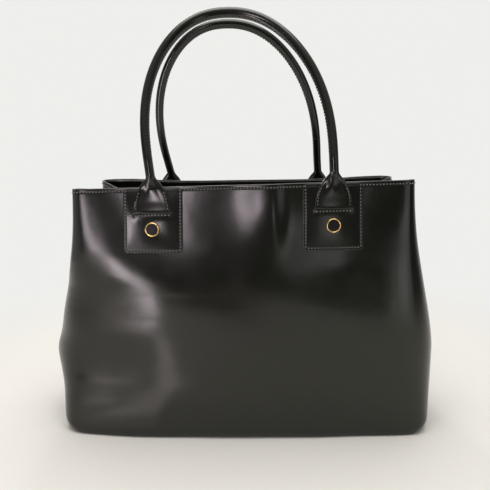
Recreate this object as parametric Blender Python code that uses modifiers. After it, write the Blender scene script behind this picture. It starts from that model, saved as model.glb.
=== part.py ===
"""Structured leather tote carried as a diaper bag.

Two wide leather panels wrap round the corners of the body and meet at a side seam in the middle of each
folded-in gusset, on a flat base. Two rolled handles grow out of square patches sewn to the panels.
Metres, +Z up, -Y is the front, +X is to the right seen from the front, and the origin is on the ground
under the middle of the bag.
"""

import math

import bmesh
import bpy
from mathutils import Matrix, Vector

# Body outline
BODY_HEIGHT = 0.270
RIM_WIDTH = 0.360
BELLY_WIDTH = 0.421
BASE_WIDTH = 0.404
BELLY_HEIGHT = 0.090
RIM_DEPTH = 0.119
RIM_CORNER_DEPTH = 0.106
BELLY_DEPTH = 0.156
BELLY_CORNER_DEPTH = 0.130
BASE_DEPTH = 0.156
BASE_CORNER_DEPTH = 0.156
BASE_TURN = 4
RIM_CORNER_RADIUS = 0.014
BELLY_CORNER_RADIUS = 0.045
BASE_CORNER_RADIUS = 0.022
FOOT_RADIUS = 0.007
FOOT_SIDE_RADIUS = 0.015

# Gusset fold
FOLD_DEPTH = 0.036
FOLD_START_HEIGHT = 0.070
GUSSET_RIM_DIP = 0.006

# Sag of each panel's left part behind a ridge: (share of the height, share of half the belly's width)
SAG_SLOPE = 0.17
SAG_FULL_HEIGHT = 0.130
SAG_RIDGE = ((0, 0.83), (0.1, 0.54), (0.2, 0.44), (0.4, 0.44), (0.57, 0.49), (0.66, 0.62), (0.72, 0.76),
             (0.82, 0.86), (1, 0.91))

# Sheet goods
LEATHER = 0.0018
FACING = 0.0012
FACING_HEIGHT = 0.036
LINING = 0.0008
LINING_GAP = 0.0018
BASE_LEATHER = 0.0022
BASE_BOARD = 0.0025
CLEARANCE = 0.0003

# Handle patches and rivets
PATCH_X = 0.0920
PATCH_WIDTH = 0.060
PATCH_HEIGHT = 0.0650
PATCH_LEATHER = 0.0020
PATCH_CORNER = 0.0045
SLOT_BELOW_RIM = 0.0270
RIVET_BELOW_RIM = 0.0430
RIVET_DIAMETER = 0.0143
RIVET_RING = 0.0018
RIVET_HEIGHT = 0.0022
RIVET_RECESS = 0.0010
RIVET_POST = 0.0040
ENAMEL = 0.0006
WASHER_DIAMETER = 0.0100
WASHER = 0.0008

# Rolled handles
TONGUE_WIDTH = 0.0380
TONGUE_LEATHER = 0.0036
TONGUE_LENGTH = 0.0360
NECK_DIAMETER = 0.0098
GRIP_DIAMETER = 0.0124
HANDLE_WRAP = 0.0013
HANDLE_RISE = 0.1690
HANDLE_BULGE = 0.0060
HANDLE_SWAY = 0.0125
HANDLE_LEAN = math.radians(16)
HANDLE_SQUARENESS = 2.3

# Magnetic snap
SNAP_BELOW_RIM = 0.0180
SNAP_DIAMETER = 0.0170
SNAP_SOCKET = 0.0036
SNAP_PLATE = 0.0020
SNAP_STUD_DIAMETER = 0.0056
SNAP_STUD = 0.0020

# Inside pockets
POCKET_WIDTH = 0.180
POCKET_HEIGHT = 0.105
POCKET_SHEET = 0.0010
POCKET_MIDDLE_HEIGHT = 0.135
ZIP_LENGTH = 0.168
ZIP_TAPE_WIDTH = 0.0240
ZIP_TAPE = 0.0008
ZIP_CHAIN_WIDTH = 0.0050
ZIP_CHAIN = 0.0016
ZIP_STOP_LENGTH = 0.0030
SLIDER_LENGTH = 0.0095
SLIDER_WALL = 0.0012
SLIDER_PIN = 0.0014
PULL_LENGTH = 0.0260
PULL_WIDTH = 0.0046
PULL_SHEET = 0.0014

# Mesh detail
SIDE_STEPS = 5
ARC_STEPS = 4
FACE_STEPS = 4
WALL_ROWS = 6
HANDLE_STEPS = 26
ROUND_STEPS = 20
TONGUE_SIDES = 14

UP = Vector((0, 0, 1))
OUTLINE_AXES = Matrix(((0, 0, 1), (1, 0, 0), (0, 1, 0))).to_4x4()


def smooth(t):
    """Eases from 0 to 1 with level ends."""
    t = min(max(t, 0.0), 1.0)
    return t * t * (3 - 2 * t)


def mix(a, b, t):
    return a + (b - a) * t


# Form of the body


def foot_inset(z, radius):
    """How far a bottom edge rounded to radius draws the outline in at height z."""
    below = max(radius - z, 0.0)
    return radius - math.sqrt(radius**2 - below**2)


def above_belly(z):
    """0 at the belly and 1 at the rim."""
    return (z - BELLY_HEIGHT) / (BODY_HEIGHT - BELLY_HEIGHT)


def half_width(z):
    if z > BELLY_HEIGHT:
        width = mix(BELLY_WIDTH, RIM_WIDTH, math.sin(math.pi / 2 * above_belly(z)) ** 1.5)
    else:
        width = mix(BASE_WIDTH, BELLY_WIDTH, smooth(z / BELLY_HEIGHT))
    return width / 2 - foot_inset(z, FOOT_SIDE_RADIUS)


def half_depth(z, base, belly, rim):
    """Half the depth of the bag, from its depths at the base, at the belly and at the rim."""
    if z > BELLY_HEIGHT:
        depth = mix(belly, rim, 1 - math.cos(math.pi / 2 * above_belly(z)))
    else:
        depth = mix(belly, base, (1 - z / BELLY_HEIGHT) ** BASE_TURN)
    return depth / 2 - foot_inset(z, FOOT_RADIUS)


def corner_radius(z):
    """Radius of the upright corners, widest at the belly."""
    if z > BELLY_HEIGHT:
        return mix(BELLY_CORNER_RADIUS, RIM_CORNER_RADIUS, smooth(above_belly(z)))
    return mix(BASE_CORNER_RADIUS, BELLY_CORNER_RADIUS, smooth(z / BELLY_HEIGHT))


def ridge_reach(z):
    """How far left of the middle the ridge lies at height z."""
    share = min(max(z / BODY_HEIGHT, 0.0), 1.0)
    for (low, near), (high, far) in zip(SAG_RIDGE, SAG_RIDGE[1:]):
        if share <= high:
            break
    return BELLY_WIDTH / 2 * mix(near, far, (share - low) / (high - low))


def sag(reach, z):
    """How far the panel has fallen back at reach left of the middle."""
    behind = max(reach - ridge_reach(z), 0.0)
    return SAG_SLOPE * min(z / SAG_FULL_HEIGHT, 1.0) * behind


def fold_depth(z):
    """How far the middle of a gusset is folded in at height z."""
    return FOLD_DEPTH * smooth((z - FOLD_START_HEIGHT) / (BODY_HEIGHT - FOLD_START_HEIGHT))


def body_point(q, sign, z):
    """A point of the front panel's outer surface.

    q runs from 0 at the side seam to 1 at the corner, 2 at the end of the corner and 3 in the middle of
    the front, and sign is the side of the bag.
    """
    width = half_width(z)
    corner = half_depth(z, BASE_CORNER_DEPTH, BELLY_CORNER_DEPTH, RIM_CORNER_DEPTH)
    middle = half_depth(z, BASE_DEPTH, BELLY_DEPTH, RIM_DEPTH)
    radius = corner_radius(z)
    slant = math.atan(2 * (middle - corner) / (width - radius))
    turn = math.pi / 2 - slant
    face_end = width - radius + radius * math.cos(turn)
    arc_y = corner - radius * math.sin(turn)
    dip = 0.0
    if q < 1:
        fold = (1 + math.cos(math.pi * q)) / 2
        dip = GUSSET_RIM_DIP * fold * smooth(z / BODY_HEIGHT)
        x = width - fold_depth(z) * fold
        y = mix(CLEARANCE / 2, arc_y, q)
    elif q < 2:
        angle = turn * (q - 1)
        x = width - radius + radius * math.cos(angle)
        y = arc_y + radius * math.sin(angle)
    else:
        x = face_end * (3 - q)
        y = corner + (middle - corner) * (1 - (x / face_end) ** 2)
    if sign < 0:
        y -= sag(x, z) * smooth(y / (0.75 * corner))
    return Vector((sign * x, -y, z - dip))


def body_normal(q, sign, z):
    """Outward normal of the front panel's outer surface."""
    step = 1e-4
    across = body_point(min(q + step, 3), sign, z) - body_point(max(q - step, 0), sign, z)
    upward = body_point(q, sign, min(z + step, BODY_HEIGHT)) - body_point(q, sign, z - step)
    return (across.cross(upward) * -sign).normalized()


def face_station(x, z):
    """The q of the point of the front face that lies x from the middle."""
    width = body_point(2, 1, z).x
    return 3 - abs(x) / width


def wall_frame(x, z):
    """Axes on the front panel's outer surface: +X across, -Y outwards and +Z up the panel."""
    sign = 1 if x >= 0 else -1
    station = face_station(x, z)
    out = body_normal(station, sign, z)
    across = UP.cross(out).normalized() * -1
    across = across if across.x > 0 else -across
    up = out.cross(across)
    up = up if up.z > 0 else -up
    frame = Matrix((across, -out, up)).transposed().to_4x4()
    frame.translation = body_point(station, sign, z)
    return frame


def wall_reach(x, z):
    """How far out of the bag's middle plane the front face lies."""
    return -body_point(face_station(x, z), 1 if x >= 0 else -1, z).y


def facet_dip(x, z):
    """How far the panel's flat facets lie behind its curved face at x, z."""
    levels = wall_levels(BASE_LEATHER + CLEARANCE, BODY_HEIGHT)
    low = max(level for level in levels if level <= z)
    high = min(level for level in levels if level > z)
    upright = mix(wall_reach(x, low), wall_reach(x, high), (z - low) / (high - low))
    step = body_point(2, 1, z).x / FACE_STEPS
    near = step * (abs(x) // step)
    level = mix(wall_reach(near, z), wall_reach(near + step, z), (abs(x) - near) / step)
    return max(wall_reach(x, z) - upright, 0.0) + max(wall_reach(x, z) - level, 0.0)


def stations():
    """(sign, q) of each column of a panel's mesh, from the left side seam to the right one."""
    half = [i / SIDE_STEPS for i in range(SIDE_STEPS)]
    half += [1 + i / ARC_STEPS for i in range(ARC_STEPS)]
    half += [2 + i / FACE_STEPS for i in range(FACE_STEPS)]
    return [(-1, q) for q in half] + [(1, 3.0)] + [(1, q) for q in reversed(half)]


# Scene and objects


def clear_scene():
    for obj in list(bpy.data.objects):
        bpy.data.objects.remove(obj)


def new_collection(name):
    collection = bpy.data.collections.new(name)
    bpy.context.scene.collection.children.link(collection)
    return collection


def new_material(name, colour, roughness, metallic=0.0):
    material = bpy.data.materials.new(name)
    material.use_nodes = True
    shader = material.node_tree.nodes["Principled BSDF"]
    shader.inputs["Base Color"].default_value = (*colour, 1)
    shader.inputs["Roughness"].default_value = roughness
    shader.inputs["Metallic"].default_value = metallic
    return material


def new_object(name, data, material, parent, matrix=None):
    obj = bpy.data.objects.new(name, data)
    parts.objects.link(obj)
    data.materials.append(material)
    obj.parent = parent
    if matrix is not None:
        obj.matrix_local = matrix
    return obj


def new_frame(name, matrix, parent=None):
    frame = bpy.data.objects.new(name, None)
    parts.objects.link(frame)
    frame.parent = parent
    frame.matrix_local = matrix
    return frame


def as_cutter(obj):
    """Keeps a shape as a tool for Boolean modifiers only."""
    parts.objects.unlink(obj)
    tools.objects.link(obj)
    obj.hide_render = True
    obj.display_type = "WIRE"
    return obj


def boolean(obj, tool, operation="DIFFERENCE"):
    modifier = obj.modifiers.new(tool.name, "BOOLEAN")
    modifier.operation = operation
    modifier.object = tool


def mesh_of(name, bm, smooth_angle=40):
    mesh = bpy.data.meshes.new(name)
    bm.to_mesh(mesh)
    bm.free()
    mesh.shade_smooth()
    mesh.set_sharp_from_angle(angle=math.radians(smooth_angle))
    return mesh


def sheet_mesh(name, columns, rows, place):
    """A grid whose point in column i and row j is moved to place(i, j)."""
    bm = bmesh.new()
    bmesh.ops.create_grid(bm, x_segments=columns, y_segments=rows, size=0.5)
    for vert in bm.verts:
        column = round((vert.co.x + 0.5) * columns)
        row = round((vert.co.y + 0.5) * rows)
        vert.co = place(column, row)
    return mesh_of(name, bm)


def thicken(obj, thickness):
    """Gives a sheet its thickness on the inner side."""
    modifier = obj.modifiers.new("thickness", "SOLIDIFY")
    modifier.thickness = thickness
    modifier.offset = -1
    modifier.use_even_offset = True


def outline_curve(name, loops, thickness):
    """A flat outline in local X and Y, with holes as further loops, thickened about its plane."""
    curve = bpy.data.curves.new(name, "CURVE")
    curve.dimensions = "2D"
    curve.fill_mode = "BOTH"
    curve.extrude = thickness / 2
    for loop in loops:
        spline = curve.splines.new("POLY")
        spline.points.add(len(loop) - 1)
        for point, (x, y) in zip(spline.points, loop):
            point.co = (x, y, 0, 1)
        spline.use_cyclic_u = True
    return curve


def outline_mesh(name, loops, thickness):
    """The same outline as a closed mesh, for a piece that is cut or joined."""
    guide = bpy.data.objects.new(name, outline_curve(name, loops, thickness))
    parts.objects.link(guide)
    bpy.context.view_layer.update()
    mesh = bpy.data.meshes.new_from_object(guide.evaluated_get(bpy.context.evaluated_depsgraph_get()))
    bpy.data.objects.remove(guide)
    bm = bmesh.new()
    bm.from_mesh(mesh)
    bmesh.ops.remove_doubles(bm, verts=bm.verts, dist=1e-6)
    bpy.data.meshes.remove(mesh)
    return mesh_of(name, bm)


def box_loop(x_low, x_high, y_low, y_high):
    return [(x_low, y_low), (x_high, y_low), (x_high, y_high), (x_low, y_high)]


def arc_loop(x, y, radius, start, end, steps):
    """Points of an arc from start to end, in degrees."""
    angles = [math.radians(mix(start, end, i / steps)) for i in range(steps + 1)]
    return [(x + radius * math.cos(a), y + radius * math.sin(a)) for a in angles]


def turned_object(name, profile, material, parent, matrix, closed=False):
    """A profile of (radius, height) points turned about local Z."""
    mesh = bpy.data.meshes.new(name)
    bm = bmesh.new()
    verts = [bm.verts.new((r, 0, h)) for r, h in profile]
    ends = verts[1:] + verts[:1] if closed else verts[1:]
    for a, b in zip(verts, ends):
        bm.edges.new((a, b))
    bm.to_mesh(mesh)
    bm.free()
    obj = new_object(name, mesh, material, parent, matrix)
    screw = obj.modifiers.new("turned", "SCREW")
    screw.steps = screw.render_steps = ROUND_STEPS
    screw.use_merge_vertices = True
    screw.merge_threshold = 1e-5
    return obj


def loft_mesh(name, rings):
    """A closed body through rings of as many points each."""
    bm = bmesh.new()
    loops = [[bm.verts.new(p) for p in ring] for ring in rings]
    for lower, upper in zip(loops, loops[1:]):
        for i in range(len(lower)):
            j = (i + 1) % len(lower)
            bm.faces.new((lower[i], lower[j], upper[j], upper[i]))
    bm.faces.new(reversed(loops[0]))
    bm.faces.new(loops[-1])
    bmesh.ops.recalc_face_normals(bm, faces=bm.faces)
    return mesh_of(name, bm)


# Body panels, lining and base


def wall_levels(low, high):
    """Heights of a wall's rows, shared by its layers so that their facets lie alike."""
    facing_low = BODY_HEIGHT - FACING_HEIGHT
    rows = [FOOT_SIDE_RADIUS * share for share in (0.33, 0.63)]
    rows += [mix(FOOT_SIDE_RADIUS, facing_low, i / WALL_ROWS) for i in range(WALL_ROWS + 1)]
    rows += [mix(facing_low, BODY_HEIGHT, 0.5)]
    return [low] + [z for z in rows if low + LEATHER / 2 < z < high - LEATHER / 2] + [high]


def wall_sheet(name, low, high, inset):
    """Mesh of half the wall, from side seam to side seam, inset from the outer surface."""
    columns = stations()
    levels = wall_levels(low, high)

    def place(column, row):
        sign, q = columns[column]
        z = levels[row]
        return body_point(q, sign, z) - body_normal(q, sign, z) * inset

    return sheet_mesh(name, len(columns) - 1, len(levels) - 1, place)


def base_outline(inset, z):
    """Plan outline of the body at height z, drawn in by inset."""
    loop = []
    for sign, q in stations()[1:-1]:
        point = body_point(q, sign, z)
        normal = body_normal(q, sign, z)
        flat = Vector((normal.x, normal.y)).normalized()
        loop.append((point.x - flat.x * inset, point.y - flat.y * inset))
    return loop + [(-x, -y) for x, y in loop]


def add_body(frames):
    panel_low = BASE_LEATHER + CLEARANCE
    board_low = panel_low
    floor_low = board_low + BASE_BOARD + CLEARANCE
    floor_high = floor_low + LINING
    facing_low = BODY_HEIGHT - FACING_HEIGHT
    facing_inset = LEATHER + CLEARANCE
    lining_inset = LEATHER + LINING_GAP
    panel = wall_sheet("panel", panel_low, BODY_HEIGHT, 0.0)
    facing = wall_sheet("facing", facing_low, BODY_HEIGHT, facing_inset)
    lining = wall_sheet("lining", floor_high + CLEARANCE, facing_low - CLEARANCE, lining_inset)
    panels = {}
    for side, frame in frames.items():
        panels[side] = new_object(f"{side}_panel", panel, leather, frame)
        thicken(panels[side], LEATHER)
        thicken(new_object(f"{side}_facing", facing, leather, frame), FACING)
        thicken(new_object(f"{side}_lining", lining, lining_cloth, frame), LINING)

    foot = outline_curve("base_panel", [base_outline(0.0, panel_low)], BASE_LEATHER)
    new_object("base_panel", foot, leather, None, Matrix.Translation((0, 0, BASE_LEATHER / 2)))
    inner_outline = base_outline(3 * LEATHER + CLEARANCE, panel_low)
    board = outline_curve("base_board", [inner_outline], BASE_BOARD)
    board_middle = board_low + BASE_BOARD / 2
    new_object("base_board", board, board_card, None, Matrix.Translation((0, 0, board_middle)))
    floor = outline_curve("base_lining", [inner_outline], LINING)
    floor_middle = floor_low + LINING / 2
    new_object("base_lining", floor, lining_cloth, None, Matrix.Translation((0, 0, floor_middle)))
    return panels


# Handle patches, rivets and handles


def patch_mesh(name, top):
    """A square patch with rounded lower corners, in the patch frame's X and Z, lying outside its plane."""
    half = PATCH_WIDTH / 2
    low = top - PATCH_HEIGHT
    inner = half - PATCH_CORNER
    loop = arc_loop(inner, low + PATCH_CORNER, PATCH_CORNER, -90, 0, 3)
    loop += [(half, top), (-half, top)]
    loop += arc_loop(-inner, low + PATCH_CORNER, PATCH_CORNER, 180, 270, 3)
    return outline_mesh(name, [loop], PATCH_LEATHER)


def facing_out(out, up):
    """A local frame whose +Z points out of the wall, out from the panel and up from the frame's origin."""
    return Matrix.Translation((0, -out, up)) @ Matrix.Rotation(math.pi / 2, 4, "X")


def tongue_stations():
    """(out, up, half width, half thickness, squareness) along a handle end, from its slot to its neck."""
    root = TONGUE_LEATHER / 2
    neck = NECK_DIAMETER / 2
    bend = root + 0.0005
    lie = PATCH_LEATHER + 2 * CLEARANCE
    straight = lie + root - bend
    half = TONGUE_WIDTH / 2
    path = [(CLEARANCE, 0.0, half, root, 6.0)]
    for step in range(4):
        angle = math.pi / 2 * step / 3
        out = straight + bend * math.sin(angle)
        path.append((out, bend * (1 - math.cos(angle)), half, root, 6.0))
    steps = 8
    for step in range(1, steps + 1):
        t = step / steps
        thickness = mix(root, neck, t**4.5)
        width = mix(neck, half, (1 - t * t) ** 0.65)
        squareness = mix(6.0, 2.0, t * t)
        path.append((lie + thickness, bend + (TONGUE_LENGTH - bend) * t, width, thickness, squareness))
    return path


def tongue_tangent(path, index):
    """Direction (out, up) of a handle end's centre line at one of its stations."""
    if index == 0:
        return Vector((1, 0))
    after = path[min(index + 1, len(path) - 1)]
    before = path[index - 1]
    return Vector((after[0] - before[0], after[1] - before[1])).normalized()


def tongue_mesh(name):
    """Handle end that comes out of its slot, turns up and closes from a flat tongue to a round neck."""
    path = tongue_stations()
    rings = []
    for index, (out, up, width, thickness, squareness) in enumerate(path):
        along = tongue_tangent(path, index)
        ring = []
        for side in range(TONGUE_SIDES):
            angle = 2 * math.pi * (side + 0.5) / TONGUE_SIDES
            c, s = math.cos(angle), math.sin(angle)
            x = width * math.copysign(abs(c) ** (2 / squareness), c)
            across = thickness * math.copysign(abs(s) ** (2 / squareness), s)
            ring.append(Vector((x, -(out + across * along.y), up - across * along.x)))
        rings.append(ring)
    return loft_mesh(name, rings)


def neck_centre():
    """(out, up) of the point about which a handle bends at the end of its tongue."""
    path = tongue_stations()
    along = tongue_tangent(path, len(path) - 1)
    reach = NECK_DIAMETER / 2 + CLEARANCE
    return path[-1][0] + along.x * reach, path[-1][1] + along.y * reach


def add_rivet(name, frame, dip):
    """A round cap with an enamelled face on a post, closed by a washer behind the panel.

    dip is how far the panel's facets lie behind the curved face that carries the frame.
    """
    radius = RIVET_DIAMETER / 2
    recess = radius - RIVET_RING
    post = RIVET_POST / 2
    edge = RIVET_RING / 2
    seat = PATCH_LEATHER + 2 * CLEARANCE
    washer_top = -(seat + LEATHER + dip + CLEARANCE)
    washer_low = washer_top - WASHER
    floor = RIVET_HEIGHT - RIVET_RECESS
    profile = [(0, floor), (recess, floor), (recess, RIVET_HEIGHT)]
    dome = arc_loop(radius - edge, RIVET_HEIGHT - edge, edge, 90, 0, 3)
    profile += dome + [(radius, 0), (post, 0), (post, washer_low), (0, washer_low)]
    place = facing_out(seat, 0.0)
    turned_object(f"{name}_rivet", profile, gold, frame, place)

    low = floor + CLEARANCE
    disc = [(0, low + ENAMEL), (recess - CLEARANCE, low + ENAMEL), (recess - CLEARANCE, low), (0, low)]
    turned_object(f"{name}_rivet_face", disc, enamel_black, frame, place)

    bore = post + CLEARANCE
    outer = WASHER_DIAMETER / 2
    ring = [(bore, washer_top), (outer, washer_top), (outer, washer_low), (bore, washer_low)]
    turned_object(f"{name}_rivet_washer", ring, brass, frame, place, closed=True)

    hole = [(0, seat), (bore, seat), (bore, washer_low), (0, washer_low)]
    return as_cutter(turned_object(f"{name}_rivet_hole", hole, gold, frame, place))


def add_patch(name, sign, panel, side_frame):
    """One handle patch with its slot, its rivet and the handle end in the slot."""
    rivet_z = BODY_HEIGHT - RIVET_BELOW_RIM
    wall = wall_frame(sign * PATCH_X, rivet_z)
    frame = new_frame(f"{name}_patch_frame", wall, side_frame)
    lean = wall.to_3x3() @ UP
    top = RIVET_BELOW_RIM / lean.z
    slot = top - SLOT_BELOW_RIM / lean.z
    stand = Matrix.Rotation(math.pi / 2, 4, "X")
    out = CLEARANCE + PATCH_LEATHER / 2
    patch = new_object(f"{name}_patch", patch_mesh(f"{name}_patch", top), leather, frame,
                       Matrix.Translation((0, -out, 0)) @ stand)

    hole = add_rivet(name, frame, facet_dip(sign * PATCH_X, rivet_z))
    boolean(patch, hole)
    boolean(panel, hole)
    reach = TONGUE_WIDTH / 2 + CLEARANCE
    play = TONGUE_LEATHER / 2 + 2 * CLEARANCE
    loop = box_loop(-reach, reach, slot - play, slot + play)
    cutter = new_object(f"{name}_slot", outline_mesh(f"{name}_slot", [loop], 3 * PATCH_LEATHER), leather,
                        frame, Matrix.Translation((0, -out, 0)) @ stand)
    boolean(patch, as_cutter(cutter))

    new_object(f"{name}_handle_end", tongue_mesh(f"{name}_handle_end"), leather, frame,
               Matrix.Translation((0, 0, slot)))
    neck_out, neck_up = neck_centre()
    return wall @ Vector((0, -neck_out, slot + neck_up))


def handle_line(half_span, sway):
    """(across, up, share of the way to the top) along a handle, over its arch."""
    points = []
    for i in range(HANDLE_STEPS + 1):
        angle = math.pi * (1 - i / HANDLE_STEPS)
        c, s = math.cos(angle), max(math.sin(angle), 0.0)
        across = half_span * math.copysign(abs(c) ** (2 / HANDLE_SQUARENESS), c)
        share = s ** (2 / HANDLE_SQUARENESS)
        shift = sway * (1 - (1 - share) ** 2) + math.copysign(HANDLE_BULGE, c) * math.sin(math.pi * share)
        points.append((across + shift, HANDLE_RISE * share, share))
    return points


def tube_curve(name, points, capped):
    """A tube through (across, up, radius) points in local X and Z."""
    curve = bpy.data.curves.new(name, "CURVE")
    curve.dimensions = "3D"
    curve.bevel_depth = 1.0
    curve.bevel_resolution = 3 if not capped else 2
    curve.use_fill_caps = capped
    spline = curve.splines.new("POLY")
    spline.points.add(len(points) - 1)
    for point, (across, up, radius) in zip(spline.points, points):
        point.co = (across, 0, up, 1)
        point.radius = radius
    return curve


def add_handle(side, neck, side_frame, sway):
    """A rolled handle: a leather tube with rounded ends, over a cord core."""
    hinge = Matrix.Translation((0, neck.y, neck.z)) @ Matrix.Rotation(-HANDLE_LEAN, 4, "X")
    frame = new_frame(f"{side}_handle_frame", hinge, side_frame)
    line = handle_line(abs(neck.x), sway)
    neck_radius = NECK_DIAMETER / 2
    grip_radius = GRIP_DIAMETER / 2
    tube = [(x, up, mix(neck_radius, grip_radius, smooth(share))) for x, up, share in line]
    rounded = [(0.5, 0.866), (0.8, 0.6), (0.95, 0.312)]
    right_end = [(abs(neck.x), -neck_radius * down, neck_radius * share) for down, share in rounded]
    left_end = [(-x, up, radius) for x, up, radius in reversed(right_end)]
    wrap = new_object(f"{side}_handle", tube_curve(f"{side}_handle", left_end + tube + right_end, False),
                      leather, frame)
    thicken(wrap, HANDLE_WRAP)
    slack = HANDLE_WRAP + CLEARANCE
    core = [(x, up, radius - slack) for x, up, radius in tube]
    new_object(f"{side}_handle_core", tube_curve(f"{side}_handle_core", core, True), cord_cotton, frame)


# Snap and pockets


def inner_reach(frame, half_wide, low, high):
    """How far the lining's inner face comes in over a rectangle of the wall, along the frame's Y."""
    to_frame = frame.inverted()
    inset = LEATHER + LINING_GAP + LINING
    reach = 0.0
    for x in (0.0, half_wide):
        for share in (0.0, 0.5, 1.0):
            z = frame.translation.z + mix(low, high, share)
            station = face_station(x, z)
            point = body_point(station, 1, z) - body_normal(station, 1, z) * inset
            reach = max(reach, (to_frame @ point).y)
    return reach


def add_snap(name, frame_parent, stud):
    """One half of the magnetic snap on the inside of the facing."""
    wall = wall_frame(0.0, BODY_HEIGHT - SNAP_BELOW_RIM)
    frame = new_frame(f"{name}_frame", wall, frame_parent)
    seat = LEATHER + FACING + 2 * CLEARANCE
    inward = Matrix.Translation((0, seat, 0)) @ Matrix.Rotation(-math.pi / 2, 4, "X")
    radius = SNAP_DIAMETER / 2
    pin = SNAP_STUD_DIAMETER / 2
    if stud:
        tip = SNAP_PLATE + SNAP_STUD
        profile = [(0, tip), (pin, tip), (pin, SNAP_PLATE), (radius, SNAP_PLATE), (radius, 0), (0, 0)]
    else:
        bore = pin + CLEARANCE
        floor = SNAP_SOCKET - SNAP_STUD - CLEARANCE
        profile = [(0, floor), (bore, floor), (bore, SNAP_SOCKET)]
        profile += [(radius, SNAP_SOCKET), (radius, 0), (0, 0)]
    turned_object(name, profile, gold, frame, inward)


def pocket_frame(name, side_frame, above=0.0):
    """Axes on the flat back of an inside pocket: +X across, +Y into the bag and +Z up the wall.

    above is the height of what is sewn on over the pocket, in the same plane.
    """
    wall = wall_frame(0.0, POCKET_MIDDLE_HEIGHT)
    reach = inner_reach(wall, POCKET_WIDTH / 2, -POCKET_HEIGHT / 2, POCKET_HEIGHT / 2 + above)
    return new_frame(name, wall @ Matrix.Translation((0, reach + CLEARANCE, 0)), side_frame)


def add_pocket_sheet(name, frame):
    """A pocket's flat front, with rounded lower corners."""
    half = POCKET_WIDTH / 2
    low, top = -POCKET_HEIGHT / 2, POCKET_HEIGHT / 2
    corner = 5 * PATCH_CORNER
    loop = arc_loop(half - corner, low + corner, corner, -90, 0, 5)
    loop += [(half, top), (-half, top)]
    loop += arc_loop(corner - half, low + corner, corner, 180, 270, 5)
    curve = outline_curve(name, [loop], POCKET_SHEET)
    stand = Matrix.Translation((0, POCKET_SHEET / 2, 0)) @ Matrix.Rotation(math.pi / 2, 4, "X")
    new_object(name, curve, lining_cloth, frame, stand)


def along_bag(x, y, z):
    """A frame for extruding along the zip: its X, Y and Z are the pocket's Y, Z and X."""
    return Matrix.Translation((x, y, z)) @ OUTLINE_AXES


def add_zip_tape(frame, middle):
    """The zip's tape with its closed chain, and a stop over each end of the chain."""
    half_tape, half_chain = ZIP_TAPE_WIDTH / 2, ZIP_CHAIN_WIDTH / 2
    top = ZIP_TAPE + ZIP_CHAIN
    tape = [(0, -half_tape), (ZIP_TAPE, -half_tape), (ZIP_TAPE, -half_chain), (top, -half_chain),
            (top, half_chain), (ZIP_TAPE, half_chain), (ZIP_TAPE, half_tape), (0, half_tape)]
    new_object("zip_tape", outline_curve("zip_tape", [tape], ZIP_LENGTH), zip_black, frame,
               along_bag(0, 0, middle))
    stop_x = (ZIP_LENGTH - ZIP_STOP_LENGTH) / 2
    low = top + CLEARANCE
    loop = box_loop(low, low + SLIDER_WALL, -half_chain, half_chain)
    for label, sign in (("left", -1), ("right", 1)):
        stop = outline_curve(f"zip_stop_{label}", [loop], ZIP_STOP_LENGTH)
        new_object(f"zip_stop_{label}", stop, gold, frame, along_bag(sign * stop_x, 0, middle))


def slider_crown():
    """Height of the slider's top over the back of the tape."""
    return ZIP_TAPE + ZIP_CHAIN + CLEARANCE + SLIDER_WALL


def pull_knuckle():
    """Outer radius of the pull's eye."""
    return SLIDER_PIN / 2 + CLEARANCE + PULL_SHEET / 2


def add_slider(frame, x, middle, pin_y):
    """A channel that rides over the chain, with two ears and a pin for the pull."""
    inner = ZIP_CHAIN_WIDTH / 2 + CLEARANCE
    outer = inner + SLIDER_WALL
    skirt = ZIP_TAPE + CLEARANCE
    crown = slider_crown()
    roof = crown - SLIDER_WALL
    channel = [(skirt, -outer), (crown, -outer), (crown, outer), (skirt, outer),
               (skirt, inner), (roof, inner), (roof, -inner), (skirt, -inner)]
    slider = new_object("zip_slider", outline_mesh("zip_slider", [channel], SLIDER_LENGTH), gold, frame,
                        along_bag(x, 0, middle))
    root = crown - SLIDER_WALL / 2
    half = pull_knuckle()
    lug = [(root, -half)] + arc_loop(pin_y, 0, half, -90, 90, 6) + [(root, half)]
    gap = PULL_WIDTH / 2 + CLEARANCE
    for label, sign in (("left", -1), ("right", 1)):
        ear = new_object(f"slider_ear_{label}", outline_mesh(f"slider_ear_{label}", [lug], SLIDER_WALL),
                         gold, frame, along_bag(x + sign * (gap + SLIDER_WALL / 2), 0, middle))
        boolean(slider, as_cutter(ear), "UNION")
    pin_loop = arc_loop(pin_y, 0, SLIDER_PIN / 2, 0, 330, 11)
    pin = new_object("slider_pin", outline_mesh("slider_pin", [pin_loop], 2 * gap + SLIDER_WALL), gold,
                     frame, along_bag(x, 0, middle))
    boolean(slider, as_cutter(pin), "UNION")


def add_pull(frame, x, middle, pin_y):
    """A blade that hangs plumb from an eye round the slider's pin."""
    knuckle = pull_knuckle()
    half_sheet = PULL_SHEET / 2
    eye = arc_loop(0, 0, SLIDER_PIN / 2 + CLEARANCE, 0, 330, 11)
    start = math.degrees(math.asin(half_sheet / knuckle))
    blade = arc_loop(0, 0, knuckle, -90 + start, 270 - start, 16)
    blade += [(-half_sheet, -PULL_LENGTH), (half_sheet, -PULL_LENGTH)]
    plumb = Matrix.Rotation(-frame.matrix_local.to_euler().x, 4, "X")
    hang = Matrix.Translation((x, pin_y, middle)) @ plumb @ OUTLINE_AXES
    new_object("zip_pull", outline_curve("zip_pull", [blade, eye], PULL_WIDTH), gold, frame, hang)


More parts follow.
